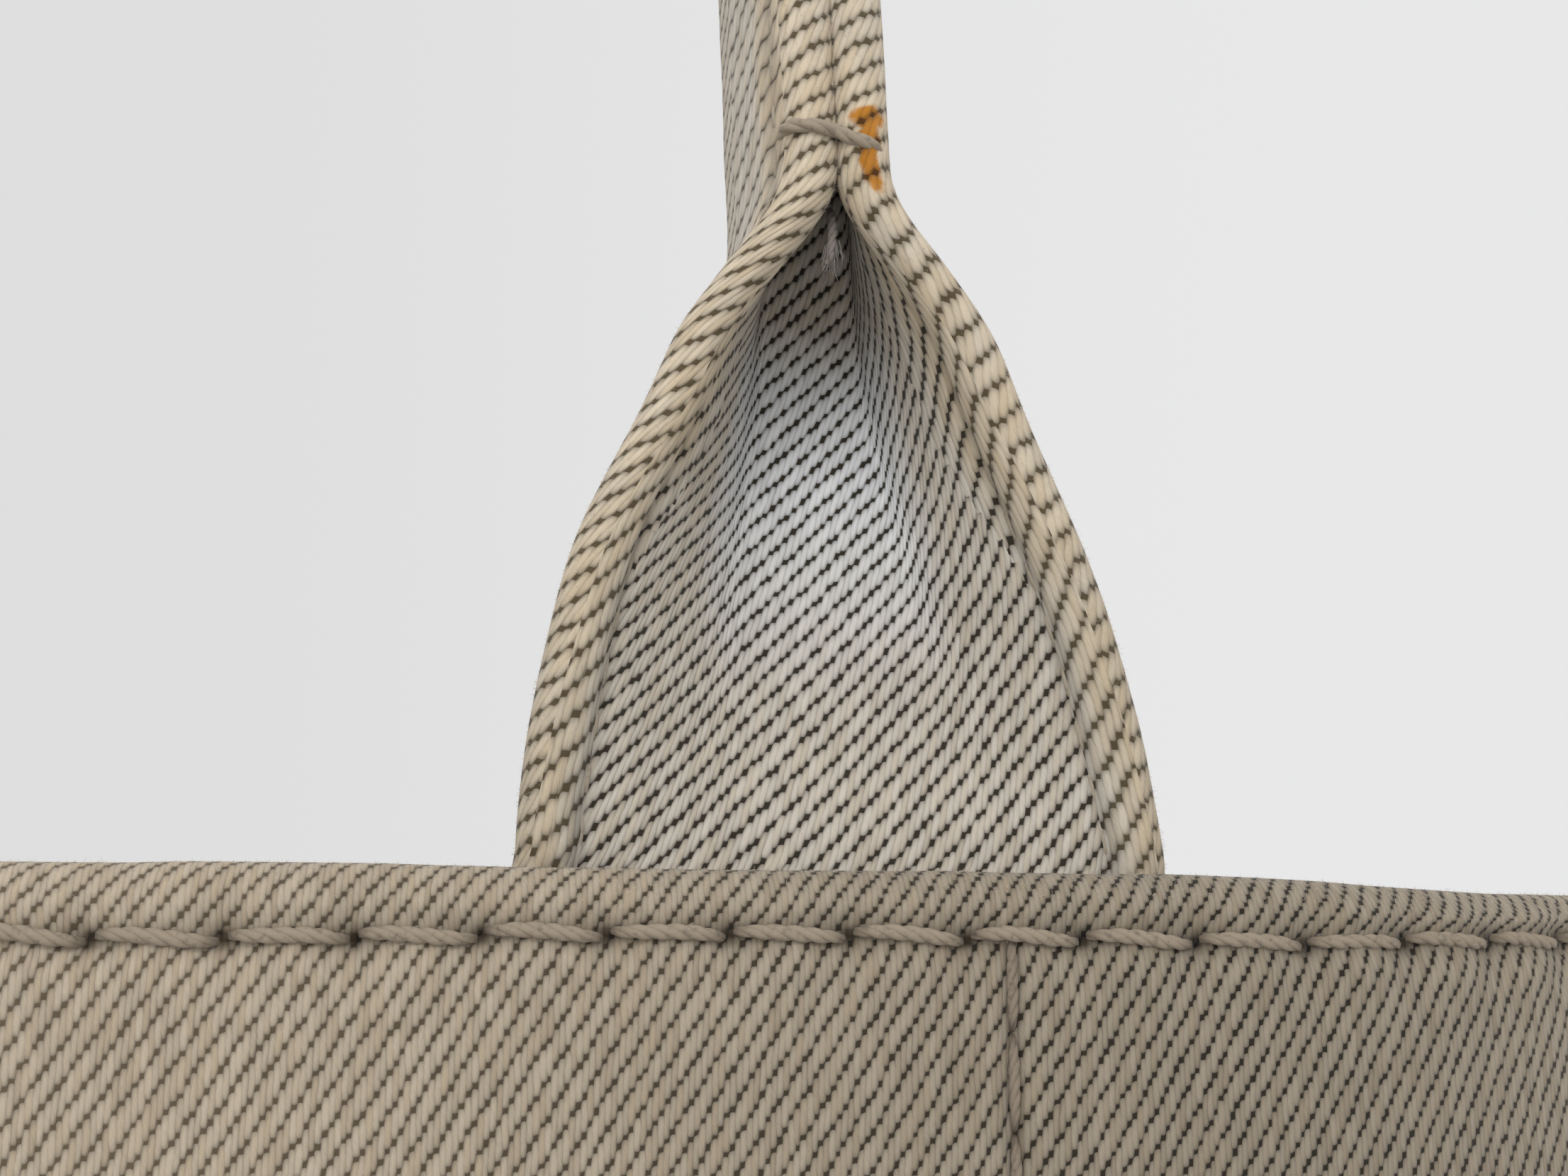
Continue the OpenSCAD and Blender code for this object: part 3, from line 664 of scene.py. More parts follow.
def strapPlace(rear, b, a, outward=0.0, normal=0.0):
    # b mm along from the hinge, a across, then past the edge and off the middle ply
    c = strapSet
    b, a = np.atleast_1d(b), np.atleast_1d(a)
    wrap, first, total = strapRun(rear)
    q = np.minimum(b, total - b)  # from the nearer hinge
    s = np.clip(b - first, 0, strapLength)
    near = np.minimum(s, strapLength - s)
    root = smooth(q, 0, first + 1.0)
    halves = []
    for side in ("Left", "Right"):
        fold, middle, crease, curl = (np.interp(near, foldTable["q"], row) for row in foldTable[side])
        halves.append(halfSection(c, fold * root, middle, crease, curl * root, np.abs(a)))
    xs, ds, turn = (np.where(a < 0, left, right) for left, right in zip(*halves))
    xs, turn = xs * np.sign(a), turn * np.sign(a)
    dx = xs + outward * np.cos(turn) - normal * np.sin(turn)
    dd = ds + outward * np.sin(turn) + normal * np.cos(turn)
    sink = (1 - np.clip(near / 43.0, 0, 1) / 4) * np.interp(near, foldTable["q"], foldTable["rise"]) * root
    x0, z0, heading = routeAt(s)
    x0 = x0 + np.sign(x0) * (c["shift"][0] * root + c["shift"][1] * smooth(near, 18, 44))
    inward = c["toeIn"] + halfThick + sink + smooth(-q, 0.0, 6.0) * (c["endIn"] - rollR - c["toeIn"])
    if not rear:
        inward = inward + 0.42 * dip(q - 0.6, 1.6)
    inward = inward[:, None] - dd
    lift = np.clip(q - wrap, None, c["toeUp"]) * (q > wrap) + np.minimum(q, 0.0)
    localZ = (lift + z0)[:, None] - dx * np.cos(heading)[:, None]
    angle = np.clip(q, 0, wrap) / (wrap or 1) * math.radians(c["turned"]) if rear else np.zeros_like(q)
    ca, sa = np.cos(angle)[:, None], np.sin(angle)[:, None]
    inward, up = inward * ca - localZ * sa, inward * sa + localZ * ca
    x, y = x0[:, None] + dx * np.sin(heading)[:, None], (1.0 if rear else -1.0) * (axisY - inward)
    return np.stack([x, y, axisZ + up], -1)


def strapPoints(rear, places):  # single places: along, across, past the edge, off the middle ply
    return np.array([strapPlace(rear, *place)[0, 0] for place in places])


def blendHandle(obj):  # bakes the object's placement into its mesh; the bend at the root is already in the strap's shape
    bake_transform(obj)


def addStrap(rear):
    c, name = strapSet, sideNames[rear] + "Strap"
    first, total = strapRun(rear)[1:]
    # rings along the strap, 0 at the level of the hinge
    foot = np.arange(endsLow[2] - axisZ, -12.0, 4.0)
    bent = np.arange(-12.0, first + 1.0, 1.2 if rear else 0.6)
    leg = np.arange(bent[-1] + 0.4, first + c["near"], 1.2 if rear else 0.36)
    bow = np.arange(leg[-1] + 1.0, first + strapLength / 2, 2.2)
    farLeg = np.arange(bent[-1] + 1.0, first + strapLength / 2 - 0.5, 2.0)
    b = np.concatenate([foot, bent, leg, bow, total - np.concatenate([foot, bent[::2], farLeg])[::-1]])
    s = np.clip(b - first, 0, strapLength)
    near = np.minimum(s, strapLength - s)[:, None]
    # round the section: face, right edge, back, left edge
    flat = np.linspace(-strapEdge, strapEdge, int(2 * strapEdge / (1.2 if rear else 0.37)) | 1)
    curve = np.linspace(0, math.pi, 6 if rear else 11)[1:-1]
    back = flat[::-1] if rear else flat[::-3]
    if back[-1] != flat[0]:
        back = np.append(back, flat[0])
    a = np.concatenate([flat, 0 * curve + strapEdge, back, 0 * curve - strapEdge])
    off = np.concatenate([0 * flat + 1, np.cos(curve), 0 * back - 1, -np.cos(curve)])
    out = np.concatenate([0 * flat, np.sin(curve), 0 * back, -np.sin(curve)])
    gridB, gridA = np.meshgrid(b, a, indexing="ij")
    bead = smooth(np.abs(gridA), c["ditch"] - 0.1, c["ditch"] + 1.2)
    deep, wide = c["ditchDip"]
    ditch = dip(np.abs(gridA) - c["ditch"] - wave(gridB, *c["ditchWave"]), wide)
    lump = lumps(gridB, gridA + np.sign(off) * 50, *c["lumps"][0]) + lumps(gridB, gridA, *c["lumps"][1])
    normal = (halfThick + (edgeR - halfThick) * bead - deep * ditch + lump * 0.5) * off
    points = strapPlace(rear, b, a, (edgeR + wave(gridB, *c["edgeWave"])) * out, normal)
    # the grain, which runs another way in the turned edges
    px, py = a + out * edgeR, off * np.where(np.abs(a) > c["ditch"], edgeR, halfThick)
    ringX = np.append(px, px[0])
    ringRun = runOf(ringX, np.append(py, py[0])) + a[0]
    along = repeated(gridB)
    across = ringRun + lumps(ringRun, along, *c["grainLumps"][0])
    uv = weaveUv(across, along + lumps(across, along, *c["grainLumps"][1]), "strap")
    wrapped = np.where(across > ringRun[-1] - c["width"] / 2, across - ringRun[-1] + ringRun[0], across)
    centres, front = (ringX[1:] + ringX[:-1]) / 2, off > -0.5
    starts = np.where(front, c["ditch"] - 4.0 * smooth(near, 14, 30), c["ditchBack"])
    left, right, inside = centres < -starts, centres > starts, front & (np.abs(centres) < c["turnAt"])
    seen = (near > 30) & (near < 70) & (b < total / 2)[:, None] & (off < 0) & (centres < -8) & (not rear)
    bands = [(chosen, weaveUv(run, along, grain)) for chosen, run, grain in (
        (seen, wrapped, "outerFace"), (left, wrapped, "leftBand"), (right, across, "rightBand"),
        (left & inside, wrapped, "bandInside"), (right & inside, across, "bandInside"))]
    stain = sum(np.exp(-(((s[:, None] - place) / tall) ** 2 + ((ringRun[:-1] - at) / wide) ** 2))
                for place, at, tall, wide in c["stains"]) * (not rear)
    pale = np.select([(off < 0) & (np.abs(px) > c["ditchBack"]), off < 0, px > c["ditch"], px < -c["ditch"]],
                     [1.2, 1.8, 1.25, 1.1], 0.0)
    # painted light: the middle of the face inside the fold is lighter and bluer
    paintedLight = smooth(near, 6, 26) * smooth(near, 37, 31) * smooth(np.abs(gridA), 11.0, 6.0) * (off > 0)
    # painted shade: groove darkens the ditch along each band
    marks = {"edge": smooth(np.abs(px) + 3.4 * smooth(near, 14, 30), 15.6, 17.8) * 0.9, "groove": 0.32 * ditch,
             # painted shade: the strap darkens low down, near the hem
             "stain": np.clip(stain, 0, 1), "fade": 0.42 * (1 - smooth(near, 6, 36)), "paintedLight": paintedLight, "pale": pale}
    replaced = [sideNames[rear] + "_handle", sideNames[rear] + "_strap_ends"]
    obj = finish(loft(name, points, uv, marks=marks, bands=bands), strapCloth, None, replaced)
    blendHandle(obj)
    log("%s %d faces" % (name, len(obj.data.polygons)))


for rear in (False, True):
    addStrap(rear)

# sewing thread: one stitch is modelled and then copied


def stitchMould(plies, sides, steps, turns):
    made = []
    for i in range(plies):
        angle = 2 * math.pi * i / plies
        spread, radius = (0.0, 1.0) if plies == 1 else (0.40, 0.60)
        bpy.ops.object.select_all(action="DESELECT")
        bpy.ops.mesh.primitive_cylinder_add(vertices=sides, radius=radius, depth=1.0,
                                            location=(spread * math.cos(angle), spread * math.sin(angle), 0))
        ply = bpy.context.object
        bpy.ops.object.mode_set(mode="EDIT")
        bpy.ops.mesh.select_mode(type="EDGE")
        bpy.ops.mesh.select_all(action="DESELECT")
        bpy.ops.object.mode_set(mode="OBJECT")
        for edge in ply.data.edges:  # only those that run from end to end
            one, two = (ply.data.vertices[v].co for v in edge.vertices)
            edge.select = abs(one.z - two.z) > 0.5
        bpy.ops.object.mode_set(mode="EDIT")
        bpy.ops.mesh.subdivide(number_cuts=steps)
        bpy.ops.object.mode_set(mode="OBJECT")
        made.append(ply)
    bpy.ops.object.select_all(action="DESELECT")
    for ply in made:
        ply.select_set(True)
    bpy.context.view_layer.objects.active = made[0]
    if plies > 1:
        bpy.ops.object.join()
    obj = bpy.context.object
    bpy.ops.object.transform_apply(location=True, rotation=True, scale=True)
    if turns:
        twist = obj.modifiers.new("twist", "SIMPLE_DEFORM")
        twist.deform_method, twist.deform_axis, twist.angle = "TWIST", "Z", turns * 2 * math.pi
        bpy.ops.object.modifier_apply(modifier="twist")
    verts = np.array([v.co[:] for v in obj.data.vertices])
    faces = [list(p.vertices) for p in obj.data.polygons]
    bpy.data.objects.remove(obj)
    return verts, faces


nearMould = stitchMould(3, 10, 22, 2.1)
farMould = stitchMould(1, 6, 4, 0)
fibreMould = stitchMould(1, 3, 1, 0)


def unit(rows):
    return rows / np.linalg.norm(rows, axis=-1, keepdims=True)


def copies(mould, count):
    verts, faces = mould
    return [[v + len(verts) * k for v in face] for k in range(count) for face in faces]


def sew(name, runs, body, material=stitchThread, mould=farMould, radius=0.3, lift=0.25, dive=0.7, slot="strap_canvas",
        bow=0.0):
    # each run is a start, an end and the way that the cloth faces, in mm
    verts = mould[0]
    along = verts[:, 2] + 0.5
    far = np.abs(2 * along - 1)
    rise = lift * (1 - far ** 2.5) - dive * far ** 7
    taper = 1 - 0.6 * far ** 2.6
    points = []
    for k, (start, end, facing) in enumerate(runs):
        way = end - start
        side = unit(np.cross(facing, unit(way)))
        turn = 2.4 * k
        cx = verts[:, 0] * math.cos(turn) - verts[:, 1] * math.sin(turn)
        cy = verts[:, 0] * math.sin(turn) + verts[:, 1] * math.cos(turn)
        aside = (bow + 1.2 * bow * ripple(k, 90, 1.0)) * np.sin(math.pi * along)
        aside = aside + bow * ripple(k, 91, 1.0) * np.sin(2 * math.pi * along)
        points.append(start + along[:, None] * way + facing * (rise + radius * 0.9 * taper * cy)[:, None]
                      + side * (radius * taper * cx + aside)[:, None])
    # groove: painted shade towards the stitch ends
    obj = addMesh(name, np.concatenate(points), copies(mould, len(runs)), {"groove": np.tile(far ** 5, len(runs))})
    log("%s %d stitches" % (name, len(runs)))
    return finish(obj, material, body)


def onWall(t, z, out=0.0):
    x, y, nx, ny = (v[0] for v in wallAt(np.array([t])))
    return np.array([x + nx * out, y + ny * out, z]), np.array([nx, ny, 0.0])


def wallRun(t0, z0, t1, z1, out):
    start, facing = onWall(t0, z0, out)
    end, facing2 = onWall(t1, z1, out)
    return start, end, unit(facing + facing2)


def layThread(name, path, centre, radius, body, material=stitchThread, taper=0.0):
    # one thread laid along a path in mm, turned away from a centre
    verts = nearMould[0]
    for step in range(3):  # rounds the corners
        cut = [0.75 * path[:-1] + 0.25 * path[1:], 0.25 * path[:-1] + 0.75 * path[1:]]
        path = np.concatenate([path[:1], np.stack(cut, 1).reshape(-1, 3), path[-1:]])
    run = np.concatenate([[0], np.cumsum(np.linalg.norm(np.diff(path, axis=0), axis=1))])
    along = verts[:, 2] + 0.5
    place, tangent = (np.stack([np.interp(along * run[-1], run, rows[:, k]) for k in range(3)], 1)
                      for rows in (path, np.gradient(path, run, axis=0)))
    tangent = unit(tangent)
    facing = place - centre
    facing = unit(facing - (facing * tangent).sum(1)[:, None] * tangent)
    size = radius * (1 - taper * along)[:, None]
    points = place + size * 0.9 * (facing * verts[:, 1:2] + np.cross(facing, tangent) * verts[:, :1])
    finish(addMesh(name, points, copies(nearMould, 1)), material, body)


# hand tacks that hold each grip folded
tackRound = 1.98
tackSet = {"at": 42.4, "radius": 0.50, "path": (
    (0.85, -16.0, 0, -0.7), (0.8, -16.6, 0, -1.6), (0.7, -strapEdge, 0, -tackRound),
    (0.5, -strapEdge, -0.7 * tackRound, -0.7 * tackRound), (0.35, -strapEdge, -tackRound, 0),
    (-0.2, strapEdge, 0.95 * tackRound, 0), (-0.5, strapEdge, 0.55 * tackRound, -0.55 * tackRound),
    (-0.6, strapEdge, 0.2 * tackRound, -0.6 * tackRound), (-0.65, strapEdge, 0, -0.4 * tackRound),
    (-0.65, 16.9, 0, 0))}


def makeTacks(c, rear):
    first, total = strapRun(rear)[1:]
    for label, mirror in (("Right", False), ("Left", True)):
        places = [(first + c["at"] + db, a, out, off) for db, a, out, off in c["path"]]
        if mirror:
            places = [(total - first - c["at"] - db, a, out, off) for db, a, out, off in c["path"]]
        path = strapPoints(rear, places)
        centre = strapPoints(rear, [(places[4][0], 0.0)])[0] * 0.5 + path[4:6].mean(0) * 0.5
        layThread(sideNames[rear] + "Tack" + label, path, centre, c["radius"], sideNames[rear] + "_handle")


for rear in (False, True):
    makeTacks(tackSet, rear)

# crossed boxes of stitches on the strap ends
boxSet = {"top": -13.0, "foot": 4.0, "half": 13.0, "pitch": 3.2, "radius": 0.26}


def makeEndStitches(c, rear):
    total = strapRun(rear)[2]
    foot, top, half = endsLow[2] - axisZ + c["foot"], c["top"], c["half"]
    corners = {"a": (top, -half), "b": (top, half), "c": (foot, half), "d": (foot, -half)}
    runs = []
    for far in (False, True):
        for one, two in ("ab", "bc", "cd", "da", "ac", "bd"):
            start, end = np.array(corners[one]), np.array(corners[two])
            count = int(round(np.linalg.norm(end - start) / c["pitch"]))
            for k in range(count):
                ends = []
                for share in ((k + 0.06) / count, (k + 0.94) / count):
                    b, a = start + (end - start) * share
                    b = total - b if far else b
                    ends.append(strapPoints(rear, [(b, a, 0, -halfThick + 0.05), (b, a, 0, -halfThick - 0.95)]))
                runs.append((ends[0][0], ends[1][0], ends[0][1] - ends[0][0]))
    sew(sideNames[rear] + "EndStitches", runs, "bucket", radius=c["radius"], lift=0.1, dive=0.3)


for rear in (False, True):
    makeEndStitches(boxSet, rear)


def spreadFibres(name, roots, ways, reach, radius, body, seed, material=fibreThread, stray=0.45):
    # thin pointed fibres from their roots, in mm, each with its own bend
    draw = np.random.RandomState(seed)
    count = len(roots)
    ways = unit(unit(ways) + draw.normal(0, stray, (count, 3)))
    side = unit(np.cross(ways, draw.normal(0, 1, (count, 3))))
    other = np.cross(ways, side)
    length = (draw.uniform(*reach, count) * draw.uniform(0.4, 1.0, count))[:, None]
    bend = side * length * draw.uniform(0.0, 0.45, count)[:, None]
    verts = fibreMould[0]
    share = (verts[:, 2] * 1.15 + 0.425)[None, :, None]
    thin = (1.0 - 0.9 * np.clip(share, 0, 1) ** 2) * radius
    points = (roots[:, None] + (ways * length)[:, None] * share + bend[:, None] * share * share
              + side[:, None] * verts[None, :, 0, None] * thin + other[:, None] * verts[None, :, 1, None] * thin)
    log("%s %d fibres" % (name, count))
    return finish(addMesh(name, points, copies(fibreMould, count)), material, body)


fuzzSet = {"radius": 0.009, "reach": (0.12, 0.40), "hem": (3600, 2200), "strap": (3600, 1600)}


def makeHemFuzz(c):
    draw = np.random.RandomState(5)
    t = np.concatenate([draw.uniform(-8, 98, c["hem"][0]), draw.uniform(0, girth, c["hem"][1])])
    angle = draw.uniform(0.05, 0.8, len(t)) * math.pi
    nx, ny = wallAt(t)[2:]
    roots = wallPoints(t, -rollR + rollR * np.cos(angle), axisZ + rollR * np.sin(angle) + topShift(t))
    ways = np.stack([nx * np.cos(angle), ny * np.cos(angle), np.sin(angle)], -1)
    spreadFibres("hemFuzz", roots, ways, c["reach"], c["radius"], "bucket", 6)


def makeStrapFuzz(c, rear, seed):
    draw = np.random.RandomState(seed)
    first, total = strapRun(rear)[1:]
    count, more = c["strap"]
    b = np.sort(np.concatenate([draw.uniform(first, first + strapSet["near"], 0 if rear else count),
                                draw.uniform(first, total - first, more)]))
    side = np.where(draw.uniform(0, 1, len(b)) < 0.5, -1.0, 1.0)
    angle = draw.uniform(-0.6, 1.1, len(b)) * math.pi / 2
    roots, middles = [], []
    for way in (-1.0, 1.0):
        chosen = side == way
        out, off = (edgeR * v[chosen, None] for v in (way * np.cos(angle), -np.sin(angle)))
        roots.append(strapPlace(rear, b[chosen], way * strapEdge, out, off)[:, 0])
        middles.append(strapPlace(rear, b[chosen], way * strapEdge)[:, 0])
    roots, middles = np.concatenate(roots), np.concatenate(middles)
    name = sideNames[rear] + "StrapFuzz"
    blendHandle(spreadFibres(name, roots, roots - middles, c["reach"], c["radius"], None, seed + 1))


makeHemFuzz(fuzzSet)
makeStrapFuzz(fuzzSet, False, 11)
makeStrapFuzz(fuzzSet, True, 13)

# the thread end left hanging in the fold
looseSet = {"at": 38.0, "radius": 0.38, "fibres": 60, "reach": (1.3, 1.8), "fibreRadius": 0.06,
            "path": ((0.1, 1.6, 1.6), (0.05, 0.6, 0.6), (0.0, 0.0, -0.6), (-0.15, -0.2, -1.8), (-0.35, -0.2, -2.6))}


def makeLooseEnd(c):
    along = strapSet["toeUp"] + c["at"]
    top = strapPoints(False, [(along, way * strapEdge, 0, 1.2) for way in (-1, 1)]).mean(0) + (0.0, 0.6, 0.0)
    path = top + np.array(c["path"])
    layThread("looseEnd", path, top + (0, 8.0, 0), c["radius"], "front_handle", looseThread, 0.2)
    draw = np.random.RandomState(21)
    roots = path[3] + draw.normal(0, 0.10, (c["fibres"], 3)) * (2.0, 1.0, 3.0)
    ways = np.array([-0.10, -0.05, -1.0]) * 6 + (roots - path[3]) * (3.0, 1.0, 0.0)
    spreadFibres("looseFibres", roots, ways, c["reach"], c["fibreRadius"], "front_handle", 22, looseThread,
                 stray=0.10)


makeLooseEnd(looseSet)

# stitches in the ditch along both edges of each strap, on its face and its back
ditchSet = {"pitch": 3.1, "past": 10.0, "gap": (0.25, 0.35), "level": halfThick - 0.36, "radius": 0.17}


def makeDitchStitches(c, rear):
    total = strapRun(rear)[2]
    marks = np.arange(-c["past"], total + c["past"], c["pitch"])
    runs = []
    for across in (-strapSet["ditch"], strapSet["ditch"]):
        for face in (-1, 1):
            starts, ends = (
                [strapPlace(rear, marks + shift, across, 0.0, face * c["level"] * k)[:, 0] for k in (1, 2)]
                for shift in (c["gap"][0], c["pitch"] - c["gap"][1]))
            runs += list(zip(starts[0], ends[0], unit(starts[1] + ends[1] - starts[0] - ends[0])))
    name = sideNames[rear] + "DitchStitches"
    blendHandle(sew(name, runs, None, ditchThread, radius=c["radius"], lift=0.06, dive=0.3))


for rear in (False, True):
    makeDitchStitches(ditchSet, rear)

# top stitches under the hem, and the upright seams
hemSet = {"radius": 0.45, "lift": 0.06, "out": -0.34, "dive": 1.0, "gap": -0.02, "slant": 0.20, "bow": 0.16}
seamSet = {"low": 165.0, "high": canvasSet["stitchZ"] + 0.3, "pitch": 5.2, "out": -0.58, "gap": -0.05}


def makeHemStitches(c):
    holes = firstHole + stitchPitch * np.arange(stitchCount + 1)
    near, far = [], []
    for t0, t1 in zip(holes[:-1], holes[1:]):
        low, high = float(stitchLine(t0)) + c["slant"], float(stitchLine(t1)) - c["slant"]
        (near if -8 < t0 < 100 else far).append(wallRun(t0 + c["gap"], low, t1 - c["gap"], high, c["out"]))
    shape = {key: c[key] for key in ("radius", "lift", "dive")}
    sew("hemStitches", near, "bucket", mould=nearMould, bow=c["bow"], **shape)
    sew("hemStitchesRound", far, "bucket", **shape)


def seamRuns(t, low, high, pitch, out, gap):
    def across(z):
        return t + float(wave(z, *canvasSet["seamWave"]))
    return [wallRun(across(z), z + gap, across(z + pitch), z + pitch - gap, out)
            for z in np.arange(high - pitch, low - pitch * 0.4, -pitch)]


makeHemStitches(hemSet)
for k, place in enumerate(seamPlaces):
    sew("seamStitches%d" % (k + 1), seamRuns(place, **seamSet), "bucket", seamThread, farMould if k else nearMould,
        radius=0.34, lift=0.05, dive=0.35)

# lining, base and their trim
plySet = {"liningIn": 2.6, "lining": 0.8, "liningTop": 295.4, "wallZ": 4.6, "base": 1.2, "baseLining": (4.6, 5.4),
          "piping": 2.0, "pipingAt": 2.2, "pipingStep": 3.0, "liningStep": 4.0, "plateStep": 6.0, "liningCut": 0.291,
          "liningLess": 0.012, "baseLess": 0.005, "baseAreaShare": 0.965}
inFace = plySet["liningIn"] + plySet["lining"]


def roundWall(step):
    return np.arange(0, girth - 0.01, girth / round(girth / step))


def makeLining(c):
    profile = ([(c["liningIn"], z) for z in np.linspace(c["wallZ"], c["liningTop"], 5)]
               + [(inFace, z) for z in np.linspace(c["liningTop"], c["wallZ"], 30)])
    depth, height = np.array(profile).T
    place, deep = np.meshgrid(roundWall(c["liningStep"]), depth, indexing="ij")
    run = np.broadcast_to(runOf(depth, height), place.shape)
    uv = weaveUv(closed(place, girth), closed(run, 0.0, 1.0), "plain")
    obj = loft("innerLining", wallPoints(place, -deep, height), uv, loop=True)
    return finish(obj, liningCloth, "bucket", ["lining"])


def plate(name, low, high, grow, rings, sag=0.0, seed=0):
    flat = wallPoints(roundWall(plySet["plateStep"]), grow, 0.0)[:, :2]
    shares = np.linspace(0.02, 1.0, rings)
    points = []
    for share, z in [(k, low) for k in shares] + [(k, high) for k in shares[::-1]]:
        px, py = (flat * share).T
        points.append(np.stack([px, py, z + sag * (1 - share) * (1 + ripple2(px, py, seed, 30.0))], -1))
    points = np.array(points)
    return loft(name, points, repeated(weaveUv(points[..., 0], points[..., 1], "plain")))


def makePiping(c):
    angle = np.linspace(0, 2 * math.pi, 13)[:-1]
    place, turn = np.meshgrid(roundWall(c["pipingStep"]), angle, indexing="ij")
    uneven = 0.03 * ripple2(place, turn * 3, 65, 5.0) + 0.03 * np.sin(place / 6.5 * 2 * math.pi) * (np.cos(turn) < 0)
    r = c["piping"] * (1 + uneven)
    points = wallPoints(place, c["pipingAt"] + r * np.cos(turn), c["pipingAt"] + r * np.sin(turn))
    across, up = closed(place, girth), closed(turn, 0.0, angle[1]) * c["piping"]
    obj = loft("basePiping", points, weaveUv(across + up, up - across * 0.7, "plain"), loop=True)
    finish(obj, strapCloth, "bucket", ["base_piping"])


def declareSheets():
    outline = np.stack(wallAt(np.arange(0, girth, 2.0))[:2], 1) / 1000


lining = makeLining(plySet)
baseCanvas = plate("baseCanvas", 0.0, plySet["base"], 0.0, 12)
finish(baseCanvas, bodyCloth, "bucket", ["base_canvas"])
baseLining = plate("baseLining", *plySet["baseLining"], -plySet["liningIn"], 14, 0.25, 63)
finish(baseLining, liningCloth, "bucket", ["base_lining"])
declareSheets()
makePiping(plySet)

# seam tapes: a finer plain-woven cotton tape
tapeSet = {"width": 16.0, "thick": 0.8, "low": 9.0, "high": 293.0, "rows": 120, "fine": 1.25,
           "lift": 0.25, "lumps": (0.12, 71, 6.0), "line": 2.0, "lineDip": (0.22, 0.5), "stitch": (3.2, 0.85, 0.3)}


def makeTape(name, t0, c, replaced):
    half = c["width"] / 2
    across = np.concatenate([[-half, -half + 0.3], np.linspace(-half + 1.0, half - 1.0, 11), [half - 0.3, half]])
    crown = np.where(np.abs(across) > half - 0.1, 0.35, np.where(np.abs(across) > half - 0.5, 0.7, 1.0))
    level = np.linspace(c["low"], c["high"], c["rows"])
    level, a = np.meshgrid(level, np.append(across, across[::-1]), indexing="ij")
    top = np.append(0 * across + 1, 0 * across)
    lift = c["lift"] + (c["thick"] * np.append(crown, crown) + lumps(level, a, *c["lumps"])
                        - dips(np.abs(a) - half + c["line"], c["lineDip"])) * top
    uv = weaveUv(repeated(a), repeated(level), "plain") * c["fine"]
    finish(loft(name, wallPoints(t0 + a, lift, level), uv), tapeCloth, "bucket", [replaced])
    runs = [run for side in (-1, 1)
            for run in seamRuns(t0 + side * (half - c["line"]), c["low"] + 1, c["high"] - 1, *c["stitch"])]
    sew(name + "Stitches", runs, "bucket", radius=0.2, lift=0.1, dive=0.3, slot="binding_tape")


makeTape("rightSeamTape", girth / 4, tapeSet, "right_seam_tape")
makeTape("leftSeamTape", girth * 0.75, tapeSet, "left_seam_tape")

# pockets: a bowed sheet with its bottom, its binding and its stitches
(pocketLow, pocketTop), (innerLow, innerTop) = ([corner[2] for corner in boxOf(label)]
                                                for label in ("front_left_pocket", "inner_front_pocket"))
pocketSet = {"low": pocketLow, "top": pocketTop, "bulge": 20.0, "thick": 1.0, "seat": 0.2, "flange": 4.0,
             "bind": 12.0, "tape": 0.8, "space": 1.0, "places": 61, "pitch": 3.2, "stitch": (0.3, 2.9),
             "folds": ((1.5, 0.7, 0.35, 9.0), (0.7, 1.0, 1.0, 8.0), (0.5, 1.0, 1.6, 5.0)), "foot": (1.8, 0.05),
             "mouth": (0.8, 0.7, 1.0), "sink": (1.0, 0.8, 1.0)}
innerSet = dict(pocketSet, low=innerLow, top=innerTop, bulge=18.0, thick=0.8)


def pocketLine(c, half, radius, way):
    # the bowed line across one pocket: along the wall, out from it, with its length and slope
    bulge = c["bulge"]
    if radius is None:
        chord = half - c["flange"]
        r = (chord ** 2 + bulge ** 2) / (2 * bulge)
        limit = math.asin(chord / r) if bulge < r else math.pi - math.asin(chord / r)
        angle = np.linspace(-limit, limit, c["places"])
        along, out = r * np.sin(angle), r * np.cos(angle) - (r - bulge)
    else:
        limit, far = half - c["flange"] / radius, radius + way * bulge
        centre = (far ** 2 - radius ** 2) / (2 * (far - radius * math.cos(limit)))
        r = way * (far - centre)

        def bowed(angle):
            px, py = r * np.sin(angle), centre + way * r * np.cos(angle)
            return np.arctan2(px, py), way * (np.hypot(px, py) - radius)
        angle = np.linspace(-math.pi, math.pi, 2001)
        turn, away = bowed(angle)
        free = angle[(np.abs(turn) <= limit + 1e-6) & (away >= -1e-6)]
        turn, out = bowed(np.linspace(free.min(), free.max(), c["places"]))
        along = turn * sideR
    flange = np.linspace(c["flange"], 0.8, 4)
    along = np.concatenate([along[0] - flange, along, along[-1] + flange[::-1]])
    out = np.pad(out, 4)
    soft = np.convolve(np.pad(out, 2, mode="edge"), np.ones(5) / 5, "valid")
    order = np.arange(len(out))
    out = np.where(np.minimum(order, order[::-1]) < 9, soft, out) + c["seat"]
    length = runOf(along, out)
    return along, out, length, np.gradient(out, length)


